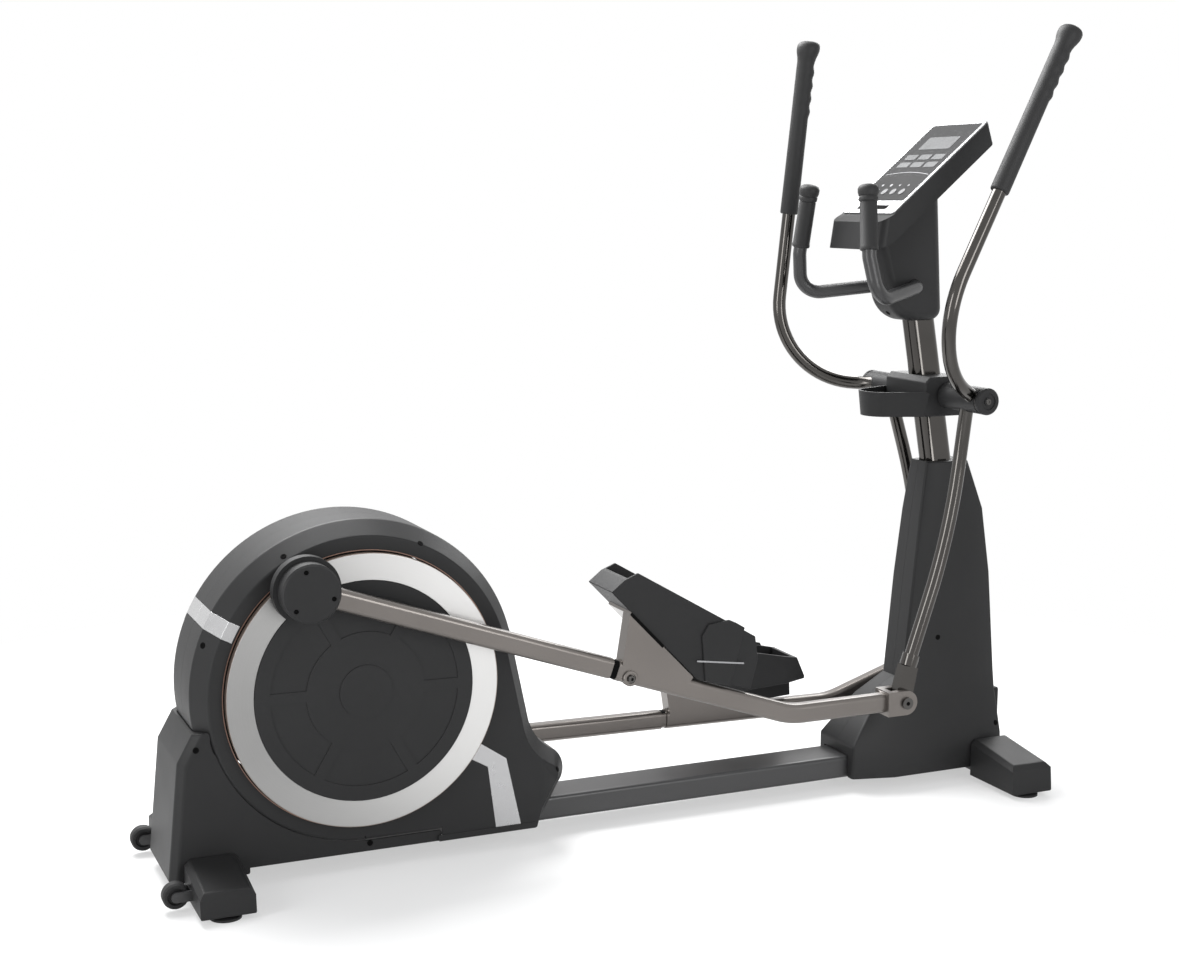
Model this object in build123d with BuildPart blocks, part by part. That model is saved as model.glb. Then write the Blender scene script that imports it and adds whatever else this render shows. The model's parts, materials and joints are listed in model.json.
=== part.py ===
from build123d import *
from math import atan2, cos, hypot, radians, sin, sqrt
import os

os.makedirs("parts", exist_ok=True)

# Rear-drive elliptical trainer, in millimetres.
# +X points to the console, +Y to the user's left, +Z up, origin on the floor at mid length.

# Sides
RIGHT = -1
LEFT = 1
SIDE_NAMES = {RIGHT: "right", LEFT: "left"}

# Clearances
RUN_FIT = 0.05
SEAT_GAP = 0.3
SEAM_GAP = 0.25
TRIM_GAP = 0.5
PLATE_GAP = 1.5
SLIDE_GAP = 0.4

# Linkage
CRANK_X = -576.0
CRANK_Z = 373.0
CRANK_R = 247.0
CRANK_ANGLE = 119.2
PIVOT_Z = 889.0
ROCKER_L = 675.0
LINK_L = 1367.0
LINK_Y = 168.0

# Mast line, which places the pivot, the column and the console
MAST_LEAN = 10.2
MAST_FOOT_X = 915.0
FOOT_BLOCK_TOP = 150.0
LEAN = radians(MAST_LEAN)


def mast_x(z):
    """X of the mast's middle line at a height."""
    return MAST_FOOT_X - (z - FOOT_BLOCK_TOP) * sin(LEAN) / cos(LEAN)


PIVOT_X = mast_x(PIVOT_Z)

# Main beam and stabilizers
BEAM_W = 98.0
BEAM_H = 50.0
BEAM_WALL = 4.0
BEAM_BOTTOM = 28.0
BEAM_TOP = BEAM_BOTTOM + BEAM_H
REAR_BAR_DX = 305.0
FRONT_BAR_DX = 2.0
REAR_BAR_X = CRANK_X - REAR_BAR_DX
FRONT_BAR_X = MAST_FOOT_X + FRONT_BAR_DX
BAR_W = 84.0
BAR_H = 36.0
BAR_BOTTOM = 16.0
BAR_WALL = 3.0
BAR_HALF = 205.0
CAP_W = 104.0
CAP_BOTTOM = 10.0
CAP_RISE = 22.0
CAP_DRAFT = 6.0
FRONT_CAP_LIFT = 18.0
CAP_TOP = 56.0
CAP_HALF = 262.0
CAP_LIP = 10.0
FOOT_R = 30.0
FOOT_H = 9.0
FOOT_Y = 232.0
STUD_R = 6.0
STUD_TOP = 30.0

# Transport wheels
WHEEL_R = 25.0
WHEEL_W = 24.0
WHEEL_Y = 168.0
WHEEL_Z = 32.0
WHEEL_PIN_R = 5.0
WHEEL_GAP = 3.0
FORK_T = 5.0
FORK_PLATE = 2.0

# Crank tower, pulley, flywheel and belt
TOWER_Y = 42.0
TOWER_T = 8.0
TOWER_TOP_R = 46.0
TOWER_FOOT = 130.0
BOSS_R = 38.0
BOSS_HALF = 54.0
BEARING_R = 26.0
BEARING_W = 15.0
SHAFT_R = 12.5
SHAFT_HALF = 112.0
PULLEY_R = 150.0
PULLEY_IN = 8.0
PULLEY_W = 22.0
PULLEY_HUB_R = 34.0
PULLEY_RIM = 12.0
FLYWHEEL_DX = 190.0
FLYWHEEL_Z = 196.0
FLYWHEEL_R = 106.0
FLYWHEEL_W = 30.0
FLYWHEEL_OUT = 34.0
FLYWHEEL_RIM = 28.0
FLYWHEEL_WEB = 7.0
DRIVE_R = 24.0
FLY_SHAFT_R = 8.0
STATOR_R = 70.0
STATOR_HUB_R = 30.0
DROPOUT_W = 56.0
BELT_T = 3.0

# Crank arms, discs and rings
ARM_IN = 96.0
ARM_T = 16.0
ARM_HUB_R = 34.0
ARM_TIP_R = 24.0
DISC_IN = 117.0
DISC_T = 12.0
DISC_R = 271.0
RING_IN_R = 219.0
RING_T = 4.0
PIN_R = 16.0
PIN_END = 144.0
EMBOSS = 1.6

# Drive covers
DRUM_R = 330.0
RIM_HALF = 75.0
COVER_SIDE = 116.0
COVER_TAPER = 34.0
COVER_WALL = 4.0
COVER_BOTTOM = 42.0
SKIRT_DX = 159.0
SKIRT_END_X = CRANK_X + SKIRT_DX
DISC_GAP = 7.0
FRONT_ANGLE = 12.0
TOE_DX = 437.0
TOE_X = CRANK_X + TOE_DX
TOE_Z = 160.0
TOE_R = 42.0
NECK_Z = 258.0
STRIP_W = 36.0
STRIP_ANGLE = 152.0
FRONT_STRIP_W = 54.0
FRONT_STRIP_DX = 297.0
FRONT_STRIP_X = CRANK_X + FRONT_STRIP_DX
FRONT_STRIP_ANGLE = -34.0

# Rear base cover
BASE_REAR_DX = 79.0
BASE_REAR_X = REAR_BAR_X - BASE_REAR_DX
BASE_LEAN = 23.0
BASE_SHOULDER_Z = 261.0
BASE_TOP_DX = 30.0
BASE_TOP_DZ = 54.0
BASE_HALF = 112.0
BASE_CHAMFER = 14.0
BASE_BOTTOM = 30.0
BASE_STEP_DX = 75.0
BASE_STEP_X = REAR_BAR_X + BASE_STEP_DX

# Mast, pivot axle and column covers
MAST_D = 74.0
MAST_W = 46.0
MAST_WALL = 3.0
MAST_TOP = 1105.0
FOOT_BLOCK_W = 98.0
FOOT_BLOCK_L = 80.0
AXLE_R = 13.0
AXLE_HALF = 222.0
COLUMN_WALL = 4.0
COLUMN_BOTTOM = 30.0
COLUMN_BASE_Z = 104.0
COLUMN_FLARE_Z = 196.0
COLUMN_NECK_Z = 240.0
COLUMN_WAIST_Z = 470.0
COLUMN_SHOULDER_Z = 620.0
COLUMN_TOP = 734.0
COLUMN_BASE_BACK = 356.0
COLUMN_BASE_FRONT = 42.0
COLUMN_FLARE_BACK = 267.0
COLUMN_FLARE_FRONT = 58.0
COLUMN_NECK_BACK = 186.0
COLUMN_NECK_FRONT = 63.0
COLUMN_WAIST_BACK = 124.0
COLUMN_WAIST_FRONT = 83.0
COLUMN_SHOULDER_BACK = 81.0
COLUMN_SHOULDER_FRONT = 88.0
COLUMN_TOP_BACK = 44.0
COLUMN_TOP_FRONT = 66.0
COLUMN_BASE_HALF = 96.0
COLUMN_HALF = 56.0
COLUMN_SHOULDER_HALF = 51.0
COLUMN_TOP_HALF = 44.0
COLUMN_FACET = 0.75
INLET_W = 68.0
INLET_TOP = 190.0
INLET_DEPTH = 20.7

# Swing arms
SLEEVE_R = 28.0
SLEEVE_IN = 84.0
SLEEVE_OUT = 221.0
ARM_TUBE_R = 15.0
LOWER_Y = 158.0
LOWER_BOW = 34.0
LOWER_BOW_B = -300.0
LOWER_BOW_R = 1300.0
UPPER_Y = 188.0
ELBOW_A = -227.0
ELBOW_Y = 301.0
ELBOW_B = 54.0
ELBOW_R = 185.0
GRIP_TOP_A = -28.0
GRIP_TOP_Y = 252.0
GRIP_TOP_B = 801.0
GRIP_L = 390.0
GRIP_R = 20.0
GRIP_END_R = 24.0
TONGUE_T = 24.0
TONGUE_R = 22.0
TONGUE_L = 78.0
COLLAR_R = 19.0
COLLAR_L = 26.0
CAP_R = 29.0
CAP_T = 10.0

# Links
TUBE_H = 42.0
TUBE_W = 34.0
TUBE_R = 11.0
TUBE_WALL = 3.0
BEND_U = 1100.0
BEND_DROP = 72.0
BEND_R = 180.0
SPLICE_U = 668.0
SPLICE_GAP = 12.0
SPIGOT_L = 95.0
HUB_R = 44.0
HUB_IN = 147.0
HUB_OUT = 193.0
HUB_BORE_R = 20.0
LID_R = 57.0
LID_T = 11.0
SKIRT_R = 66.0
SKIRT_T = 22.0
CLEVIS_H = 54.0
CLEVIS_BACK = 46.0
SLOT_LEAN = 20.0
CHEEK_T = 15.0
LINK_PIN_R = 8.0
PIN_HEAD_R = 13.0
PIN_HEAD_T = 6.0

# Pedals
PEDAL_IN = 64.0
PEDAL_OUT = 182.0
PEDAL_WALL = 6.0
PEDAL_SKIN = 5.0
HEEL_U = 612.0
HEEL_W = 110.0
HEEL_T = 29.0
SOLE_KNEE_U = 852.0
SOLE_KNEE_W = -33.0
RIM_SET = 48.0
RIM_U = HEEL_U + RIM_SET
RIM_W = 159.0
TOE_RIM_U = 965.0
TOE_RIM_W = 78.0
TOE_TIP_U = 986.0
TOE_TIP_W = 31.0
TOE_SOLE_W = 24.0
TREAD_SET = 30.0
TREAD_U = HEEL_U + TREAD_SET
TREAD_W = 122.0
TREAD_SLOPE = 14.4
TOE_TAPER_U = 930.0
TOE_TIP_IN = 80.0
TOE_TIP_OUT = 176.0
TREAD_RIBS = 9
GUARD_T = 5.0
GUARD_U = 836.0
GUARD_RISE = 18.0
GUARD_STEPS = 43 / 6
GUSSET_U = 663.0
GUSSET_T = 6.0
SHELF_IN = 78.0

# Cup tray and collar
TRAY_REACH = 164.0
TRAY_DROP = 47.0
TRAY_DEPTH = 55.0
TRAY_REAR_X = PIVOT_X - TRAY_REACH
TRAY_BOTTOM = PIVOT_Z - TRAY_DROP
TRAY_TOP = TRAY_BOTTOM + TRAY_DEPTH
TRAY_HALF = 78.0
TRAY_NOSE_HALF = 44.0
TRAY_WALL = 4.0
TRAY_FLARE = 6.0
COLLAR_HALF = 80.0
COLLAR_DROP = 47.0
COLLAR_RISE = 41.0
COLLAR_BOTTOM = PIVOT_Z - COLLAR_DROP
COLLAR_TOP = PIVOT_Z + COLLAR_RISE
COLLAR_WALL = 12.0

# Console, post and fixed handlebar
POST_BOTTOM = 1051.0
HEAD_X = mast_x(POST_BOTTOM)
CONSOLE_HALF = 105.0
SCREEN_LOW_DX = 141.0
SCREEN_LOW_X = HEAD_X - SCREEN_LOW_DX
SCREEN_LOW_Z = 1283.0
SCREEN_TILT = 40.0
SCREEN_L = 312.0
CONSOLE_T = 46.0
LIP_DX = 38.0
LIP_X = SCREEN_LOW_X - LIP_DX
LIP_Z = 1209.0
LIP_TOP_DX = 9.0
LIP_L = 40.0
LIP_RISE = 15.0
LIP_TOP_Z = 1268.0
CONSOLE_CORNER_R = 22.0
TRIM_W = 9.0
TRIM_T = 3.0
PANEL_T = 2.0
LEDGE_L = 44.0
LEDGE_SLOT_W = 118.0
LEDGE_SLOT_H = 13.0
KEY_T = 6.0
KEY_R = 9.0
KEY_PITCH = 34.0
KEY_V = 74.0
KEY_SINK = 3.0
POST_HALF = 46.0
POST_BACK = 138.0
POST_FRONT = 41.0
POST_REAR_X = HEAD_X - POST_BACK
POST_FRONT_X = HEAD_X + POST_FRONT
POST_NOSE_R = 75.0
POST_EDGE_R = 24.0
POST_CORNER_R = 28.0
POST_SET = 20.0
POST_HEEL_DX = 49.0
BAR_R = 15.0
BAR_Z = 1128.0
BAR_DX = 41.0
BAR_X = HEAD_X - BAR_DX
BAR_REACH = 174.0
BAR_END_X = BAR_X - BAR_REACH
BAR_END_Y = 121.0
BAR_END_Z = 1336.0
BAR_LOW_DX = 7.0
BAR_LOW_X = BAR_END_X + BAR_LOW_DX
BAR_KNEE_DX = -8.0
BAR_KNEE_DY = 24.0
BAR_LOW_DY = 41.0
BAR_LOW_Z = 1104.0
BAR_KNEE_Z = 1196.0
BAR_BEND_R = 44.0
BAR_GRIP_R = 19.0
BAR_GRIP_L = 140.0
BAR_CAP_T = 12.0


def save(piece, name):
    """Label a finished piece and write its solid file."""
    piece.part.label = name
    export_step(piece.part, f"parts/{name}.step")


# Rest pose of the linkage, solved from the crank angle
def crank_pin(side):
    """Centre of one side's crank pin; the two cranks are half a turn apart."""
    turn = radians(CRANK_ANGLE + (180 if side == LEFT else 0))
    return CRANK_X + CRANK_R * cos(turn), CRANK_Z + CRANK_R * sin(turn)


def front_joint(side):
    """Lower meeting point of the link's circle and the swing arm's circle."""
    pin_x, pin_z = crank_pin(side)
    span_x = PIVOT_X - pin_x
    span_z = PIVOT_Z - pin_z
    span = hypot(span_x, span_z)
    along = (LINK_L**2 - ROCKER_L**2 + span**2) / (2 * span)
    off = sqrt(LINK_L**2 - along**2)
    joint_x = pin_x + (along * span_x + off * span_z) / span
    joint_z = pin_z + (along * span_z - off * span_x) / span
    return joint_x, joint_z


def swing_tilt(side):
    """Turn of a swing arm from hanging straight, in radians, lower end forward."""
    joint_x, joint_z = front_joint(side)
    return atan2(joint_x - PIVOT_X, PIVOT_Z - joint_z)


def link_tilt(side):
    """Slope of a link from its hub to its front joint, in radians."""
    pin_x, pin_z = crank_pin(side)
    joint_x, joint_z = front_joint(side)
    return atan2(joint_z - pin_z, joint_x - pin_x)


def upright(x, z, tilt):
    """Plane through (x, z) whose x axis is tilted up by tilt and whose normal is -Y."""
    return Plane(origin=(x, 0, z), x_dir=(cos(tilt), 0, sin(tilt)), z_dir=(0, -1, 0))


def swing_plane(side):
    """Plane of a swing arm, with its origin on the pivot axis."""
    return upright(PIVOT_X, PIVOT_Z, swing_tilt(side))


def link_plane(side):
    """Plane of a link, with its origin on the crank pin axis and x towards the front joint."""
    pin_x, pin_z = crank_pin(side)
    return upright(pin_x, pin_z, link_tilt(side))


def at_side(plane, side, reach):
    """The plane moved sideways to the distance reach from the centre plane, on one side."""
    return plane.offset(-side * reach)


def spot(plane, side, a, reach, b):
    """World point at (a, b) in a plane, at the distance reach from the centre plane."""
    return plane.from_local_coords((a, b, -side * reach))


def across(x, y, z):
    """Plane at a point whose normal is +Y."""
    return Plane(origin=(x, y, z), x_dir=(1, 0, 0), z_dir=(0, 1, 0))


# Main beam
with BuildPart() as main_beam:
    with BuildSketch(Plane.YZ.offset(REAR_BAR_X + BAR_W / 2)):
        with Locations((0, BEAM_BOTTOM + BEAM_H / 2)):
            RectangleRounded(BEAM_W, BEAM_H, 2 * BEAM_WALL)
            RectangleRounded(BEAM_W - 2 * BEAM_WALL, BEAM_H - 2 * BEAM_WALL, BEAM_WALL, mode=Mode.SUBTRACT)
    extrude(amount=FRONT_BAR_X - REAR_BAR_X - BAR_W)
save(main_beam, "main_beam")


# Stabilizers
def build_stabilizer(x):
    """Rectangular cross tube with its ends closed by the end caps."""
    with BuildPart() as tube:
        with BuildSketch(across(x, -BAR_HALF, BAR_BOTTOM + BAR_H / 2)):
            RectangleRounded(BAR_W, BAR_H, 2 * BAR_WALL)
            RectangleRounded(BAR_W - 2 * BAR_WALL, BAR_H - 2 * BAR_WALL, BAR_WALL, mode=Mode.SUBTRACT)
        extrude(amount=2 * BAR_HALF)
    return tube


save(build_stabilizer(REAR_BAR_X), "rear_stabilizer")
save(build_stabilizer(FRONT_BAR_X), "front_stabilizer")


# Stabilizer end caps with sloped ends, bored for the levelling studs
def build_end_cap(x, inner, top):
    """Moulded sleeve over one stabilizer end on the +Y side, its top falling outwards."""
    with BuildPart() as cap:
        with BuildSketch(Plane.YZ.offset(x - CAP_W / 2)):
            with BuildLine():
                Polyline(
                    (inner, CAP_BOTTOM),
                    (CAP_HALF, CAP_BOTTOM),
                    (CAP_HALF - CAP_DRAFT, top),
                    (inner, top + CAP_RISE),
                    close=True,
                )
            make_face()
        extrude(amount=CAP_W)
        top_edges = cap.faces().sort_by(Axis.Z)[-1].edges()
        chamfer(top_edges.filter_by(lambda edge: edge.center().Y > inner + CAP_LIP), CAP_LIP)
        with BuildSketch(across(x, inner, BAR_BOTTOM + BAR_H / 2)):
            RectangleRounded(BAR_W + 2 * SEAT_GAP, BAR_H + 2 * SEAT_GAP, 2 * BAR_WALL + SEAT_GAP)
        extrude(amount=BAR_HALF + SEAT_GAP - inner, mode=Mode.SUBTRACT)
        with BuildSketch(Plane.XY.offset(CAP_BOTTOM)):
            with Locations((x, FOOT_Y)):
                Circle(STUD_R + RUN_FIT)
        extrude(amount=STUD_TOP - CAP_BOTTOM + SEAT_GAP, mode=Mode.SUBTRACT)
    return cap


rear_cap = build_end_cap(REAR_BAR_X, BASE_HALF + PLATE_GAP, CAP_TOP)
front_cap = build_end_cap(FRONT_BAR_X, COLUMN_BASE_HALF + PLATE_GAP, CAP_TOP + FRONT_CAP_LIFT)
with BuildPart() as stabilizer_end_caps:
    add(rear_cap.part)
    add(front_cap.part)
    mirror(about=Plane.XZ)
save(stabilizer_end_caps, "stabilizer_end_caps")

# Levelling feet
with BuildPart() as levelling_feet:
    for foot_x in (REAR_BAR_X, FRONT_BAR_X):
        with BuildSketch(Plane(origin=(foot_x, FOOT_Y, 0), x_dir=(1, 0, 0), z_dir=(0, -1, 0))):
            with BuildLine():
                Polyline(
                    (0, 0),
                    (FOOT_R, 0),
                    (FOOT_R, FOOT_H / 2),
                    (2 * STUD_R, FOOT_H),
                    (STUD_R, FOOT_H),
                    (STUD_R, STUD_TOP),
                    (0, STUD_TOP),
                    close=True,
                )
            make_face()
        revolve(axis=Axis((foot_x, FOOT_Y, 0), (0, 0, 1)))
    mirror(about=Plane.XZ)
save(levelling_feet, "levelling_feet")

# Transport wheel forks on the back of the rear end caps
WHEEL_X = REAR_BAR_X - CAP_W / 2 - WHEEL_GAP - WHEEL_R
FORK_GAP = WHEEL_W + 2 * SLIDE_GAP
with BuildPart() as wheel_forks:
    fork_x = REAR_BAR_X - CAP_W / 2
    with BuildSketch(across(WHEEL_X, WHEEL_Y - FORK_GAP / 2 - FORK_T, WHEEL_Z)):
        Circle(2 * WHEEL_PIN_R)
        with Locations(((fork_x - WHEEL_X) / 2, 0)):
            Rectangle(fork_x - WHEEL_X, 4 * WHEEL_PIN_R)
    extrude(amount=FORK_GAP + 2 * FORK_T)
    with BuildSketch(across(WHEEL_X, WHEEL_Y - FORK_GAP / 2, WHEEL_Z)):
        with Locations((-FORK_PLATE, 0)):
            Rectangle(2 * (fork_x - WHEEL_X), 2 * WHEEL_R)
    extrude(amount=FORK_GAP, mode=Mode.SUBTRACT)
    with BuildSketch(across(WHEEL_X, WHEEL_Y - FORK_GAP / 2 - FORK_T, WHEEL_Z)):
        Circle(WHEEL_PIN_R)
    extrude(amount=FORK_GAP + 2 * FORK_T)
    mirror(about=Plane.XZ)
save(wheel_forks, "wheel_forks")


# Transport wheels
def build_wheel(side):
    """Roller with a crowned tread and a dished hub."""
    with BuildPart() as wheel:
        centre = (WHEEL_X, side * WHEEL_Y, WHEEL_Z)
        with BuildSketch(Plane(origin=centre, x_dir=(0, 1, 0), z_dir=(1, 0, 0))):
            with BuildLine():
                half = WHEEL_W / 2
                shoulder = WHEEL_R - 3 * WHEEL_PIN_R / 5
                Polyline(
                    (-half, shoulder),
                    (-half, WHEEL_R * 2 / 3),
                    (-half * 2 / 3, WHEEL_R * 3 / 5),
                    (-half * 2 / 3, 2 * WHEEL_PIN_R),
                    (-half, 2 * WHEEL_PIN_R - 2),
                    (-half, WHEEL_PIN_R + RUN_FIT),
                    (half, WHEEL_PIN_R + RUN_FIT),
                    (half, 2 * WHEEL_PIN_R - 2),
                    (half * 2 / 3, 2 * WHEEL_PIN_R),
                    (half * 2 / 3, WHEEL_R * 3 / 5),
                    (half, WHEEL_R * 2 / 3),
                    (half, shoulder),
                    (half * 2 / 3, WHEEL_R),
                    (-half * 2 / 3, WHEEL_R),
                    close=True,
                )
            make_face()
        revolve(axis=Axis(centre, (0, 1, 0)))
    return wheel


for wheel_side in (RIGHT, LEFT):
    save(build_wheel(wheel_side), f"{SIDE_NAMES[wheel_side]}_transport_wheel")

# Crank tower: two upright plates with bearing bosses
with BuildPart() as crank_tower:
    with BuildSketch(Plane.XZ.offset(TOWER_Y - TOWER_T / 2)):
        with BuildLine():
            Polyline(
                (CRANK_X - TOWER_FOOT, BEAM_TOP),
                (CRANK_X + TOWER_FOOT, BEAM_TOP),
                (CRANK_X + TOWER_TOP_R, CRANK_Z),
                (CRANK_X - TOWER_TOP_R, CRANK_Z),
                close=True,
            )
        make_face()
        with Locations((CRANK_X, CRANK_Z)):
            Circle(TOWER_TOP_R)
    extrude(amount=TOWER_T)
    with BuildSketch(Plane.XZ.offset(TOWER_Y - TOWER_T / 2)):
        with Locations((CRANK_X, CRANK_Z)):
            Circle(BOSS_R)
    extrude(amount=BOSS_HALF - TOWER_Y + TOWER_T / 2)
    with BuildSketch(Plane.XZ.offset(TOWER_Y - TOWER_T / 2)):
        with Locations((CRANK_X, CRANK_Z)):
            Circle(BEARING_R + RUN_FIT)
    extrude(amount=BOSS_HALF, mode=Mode.SUBTRACT)
    mirror(about=Plane.XZ)
save(crank_tower, "crank_tower")

# Crank bearings
with BuildPart() as crank_bearings:
    with BuildSketch(Plane.XZ.offset(BOSS_HALF - BEARING_W)):
        with Locations((CRANK_X, CRANK_Z)):
            Circle(BEARING_R)
            Circle(SHAFT_R + RUN_FIT, mode=Mode.SUBTRACT)
    extrude(amount=BEARING_W)
    mirror(about=Plane.XZ)
save(crank_bearings, "crank_bearings")

# Crank axle
with BuildPart() as crank_axle:
    with BuildSketch(across(CRANK_X, -SHAFT_HALF, CRANK_Z)):
        Circle(SHAFT_R)
    extrude(amount=2 * SHAFT_HALF)
    chamfer(crank_axle.edges().filter_by(GeomType.CIRCLE), SHAFT_R / 10)
save(crank_axle, "crank_axle")

# Crank pulley with a dished web
with BuildPart() as crank_pulley:
    with BuildSketch(across(CRANK_X, PULLEY_IN, CRANK_Z)):
        Circle(PULLEY_R)
        Circle(PULLEY_R - PULLEY_RIM, mode=Mode.SUBTRACT)
        Circle(PULLEY_HUB_R)
        Circle(SHAFT_R + RUN_FIT, mode=Mode.SUBTRACT)
    extrude(amount=PULLEY_W)
    with BuildSketch(across(CRANK_X, PULLEY_IN + PULLEY_W / 3, CRANK_Z)):
        Circle(PULLEY_R - PULLEY_RIM)
        Circle(PULLEY_HUB_R, mode=Mode.SUBTRACT)
        with PolarLocations((PULLEY_R - PULLEY_RIM + PULLEY_HUB_R) / 2, 6):
            Circle((PULLEY_R - PULLEY_RIM - PULLEY_HUB_R) / 4, mode=Mode.SUBTRACT)
    extrude(amount=PULLEY_W / 3)
save(crank_pulley, "crank_pulley")

# Flywheel: a cup with a heavy rim and the small drive pulley on its hub
FLYWHEEL_X = CRANK_X + FLYWHEEL_DX
with BuildPart() as flywheel:
    with BuildSketch(across(FLYWHEEL_X, -FLYWHEEL_OUT, FLYWHEEL_Z)):
        Circle(FLYWHEEL_R)
        Circle(FLYWHEEL_R - FLYWHEEL_RIM, mode=Mode.SUBTRACT)
    extrude(amount=FLYWHEEL_W)
    with BuildSketch(across(FLYWHEEL_X, FLYWHEEL_W - FLYWHEEL_OUT - FLYWHEEL_WEB, FLYWHEEL_Z)):
        Circle(FLYWHEEL_R - FLYWHEEL_RIM)
    extrude(amount=FLYWHEEL_WEB)
    with BuildSketch(across(FLYWHEEL_X, FLYWHEEL_W - FLYWHEEL_OUT, FLYWHEEL_Z)):
        Circle(DRIVE_R)
    extrude(amount=PULLEY_IN + PULLEY_W + FLYWHEEL_OUT - FLYWHEEL_W)
    with BuildSketch(across(FLYWHEEL_X, -FLYWHEEL_OUT, FLYWHEEL_Z)):
        Circle(FLY_SHAFT_R + RUN_FIT)
    extrude(amount=2 * FLYWHEEL_OUT + PULLEY_W, mode=Mode.SUBTRACT)
save(flywheel, "flywheel")

# Flywheel dropouts on the beam, outside the flywheel
with BuildPart() as flywheel_bracket:
    with BuildSketch(Plane.XZ.offset(TOWER_Y - TOWER_T / 2)):
        with BuildLine():
            Polyline(
                (FLYWHEEL_X - DROPOUT_W, BEAM_TOP),
                (FLYWHEEL_X + DROPOUT_W, BEAM_TOP),
                (FLYWHEEL_X + DROPOUT_W / 2, FLYWHEEL_Z),
                (FLYWHEEL_X - DROPOUT_W / 2, FLYWHEEL_Z),
                close=True,
            )
        make_face()
        with Locations((FLYWHEEL_X, FLYWHEEL_Z)):
            Circle(DROPOUT_W / 2)
            Circle(FLY_SHAFT_R + RUN_FIT, mode=Mode.SUBTRACT)
    extrude(amount=TOWER_T)
    mirror(about=Plane.XZ)
save(flywheel_bracket, "flywheel_bracket")

# Flywheel axle
with BuildPart() as flywheel_axle:
    with BuildSketch(across(FLYWHEEL_X, -TOWER_Y - TOWER_T, FLYWHEEL_Z)):
        Circle(FLY_SHAFT_R)
    extrude(amount=2 * (TOWER_Y + TOWER_T))
save(flywheel_axle, "flywheel_axle")

# Brake stator inside the flywheel cup, held by the right dropout
with BuildPart() as brake_stator:
    with BuildSketch(across(FLYWHEEL_X, TOWER_T / 2 - TOWER_Y, FLYWHEEL_Z)):
        Circle(STATOR_HUB_R)
        Circle(FLY_SHAFT_R + SEAT_GAP, mode=Mode.SUBTRACT)
    extrude(amount=FLYWHEEL_W - FLYWHEEL_WEB)
    with BuildSketch(across(FLYWHEEL_X, PLATE_GAP - FLYWHEEL_OUT, FLYWHEEL_Z)):
        Circle(STATOR_R)
        Circle(FLY_SHAFT_R + SEAT_GAP, mode=Mode.SUBTRACT)
        with PolarLocations(STATOR_R, 12):
            Rectangle(STATOR_R / 4, STATOR_R / 10, mode=Mode.SUBTRACT)
    extrude(amount=FLYWHEEL_W - FLYWHEEL_WEB - 2 * PLATE_GAP)
save(brake_stator, "brake_stator")

# Drive belt round the pulley and the flywheel hub
with BuildPart() as drive_belt:
    with BuildSketch(Plane.XZ.offset(-PULLEY_IN - PULLEY_W * 5 / 6)):
        with BuildSketch(Plane.XZ, mode=Mode.PRIVATE) as belt_outside:
            with Locations((CRANK_X, CRANK_Z)):
                Circle(PULLEY_R + SEAT_GAP + BELT_T)
            with Locations((FLYWHEEL_X, FLYWHEEL_Z)):
                Circle(DRIVE_R + SEAT_GAP + BELT_T)
            make_hull()
        with BuildSketch(Plane.XZ, mode=Mode.PRIVATE) as belt_inside:
            with Locations((CRANK_X, CRANK_Z)):
                Circle(PULLEY_R + SEAT_GAP)
            with Locations((FLYWHEEL_X, FLYWHEEL_Z)):
                Circle(DRIVE_R + SEAT_GAP)
            make_hull()
        add(belt_outside.sketch_local)
        add(belt_inside.sketch_local, mode=Mode.SUBTRACT)
    extrude(amount=PULLEY_W * 2 / 3)
save(drive_belt, "drive_belt")


# Crank arms with the pin stubs
def build_crank_arm(side):
    """Forged arm from the axle to the crank pin on one side."""
    pin_x, pin_z = crank_pin(side)
    turn = atan2(pin_z - CRANK_Z, pin_x - CRANK_X)
    face = at_side(upright(CRANK_X, CRANK_Z, turn), side, ARM_IN)
    with BuildPart() as arm:
        with BuildSketch(face):
            with BuildLine():
                Polyline(
                    (0, -ARM_HUB_R),
                    (CRANK_R, -ARM_TIP_R),
                    (CRANK_R, ARM_TIP_R),
                    (0, ARM_HUB_R),
                    close=True,
                )
            make_face()
            Circle(ARM_HUB_R)
            with Locations((CRANK_R, 0)):
                Circle(ARM_TIP_R)
            Circle(SHAFT_R + RUN_FIT, mode=Mode.SUBTRACT)
        extrude(amount=-side * ARM_T)
        with BuildSketch(face):
            with Locations((CRANK_R, 0)):
                Circle(PIN_R)
        extrude(amount=-side * (PIN_END - ARM_IN))
    return arm


with BuildPart() as crank_arms:
    add(build_crank_arm(RIGHT).part)
    add(build_crank_arm(LEFT).part)
save(crank_arms, "crank_arms")


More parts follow.
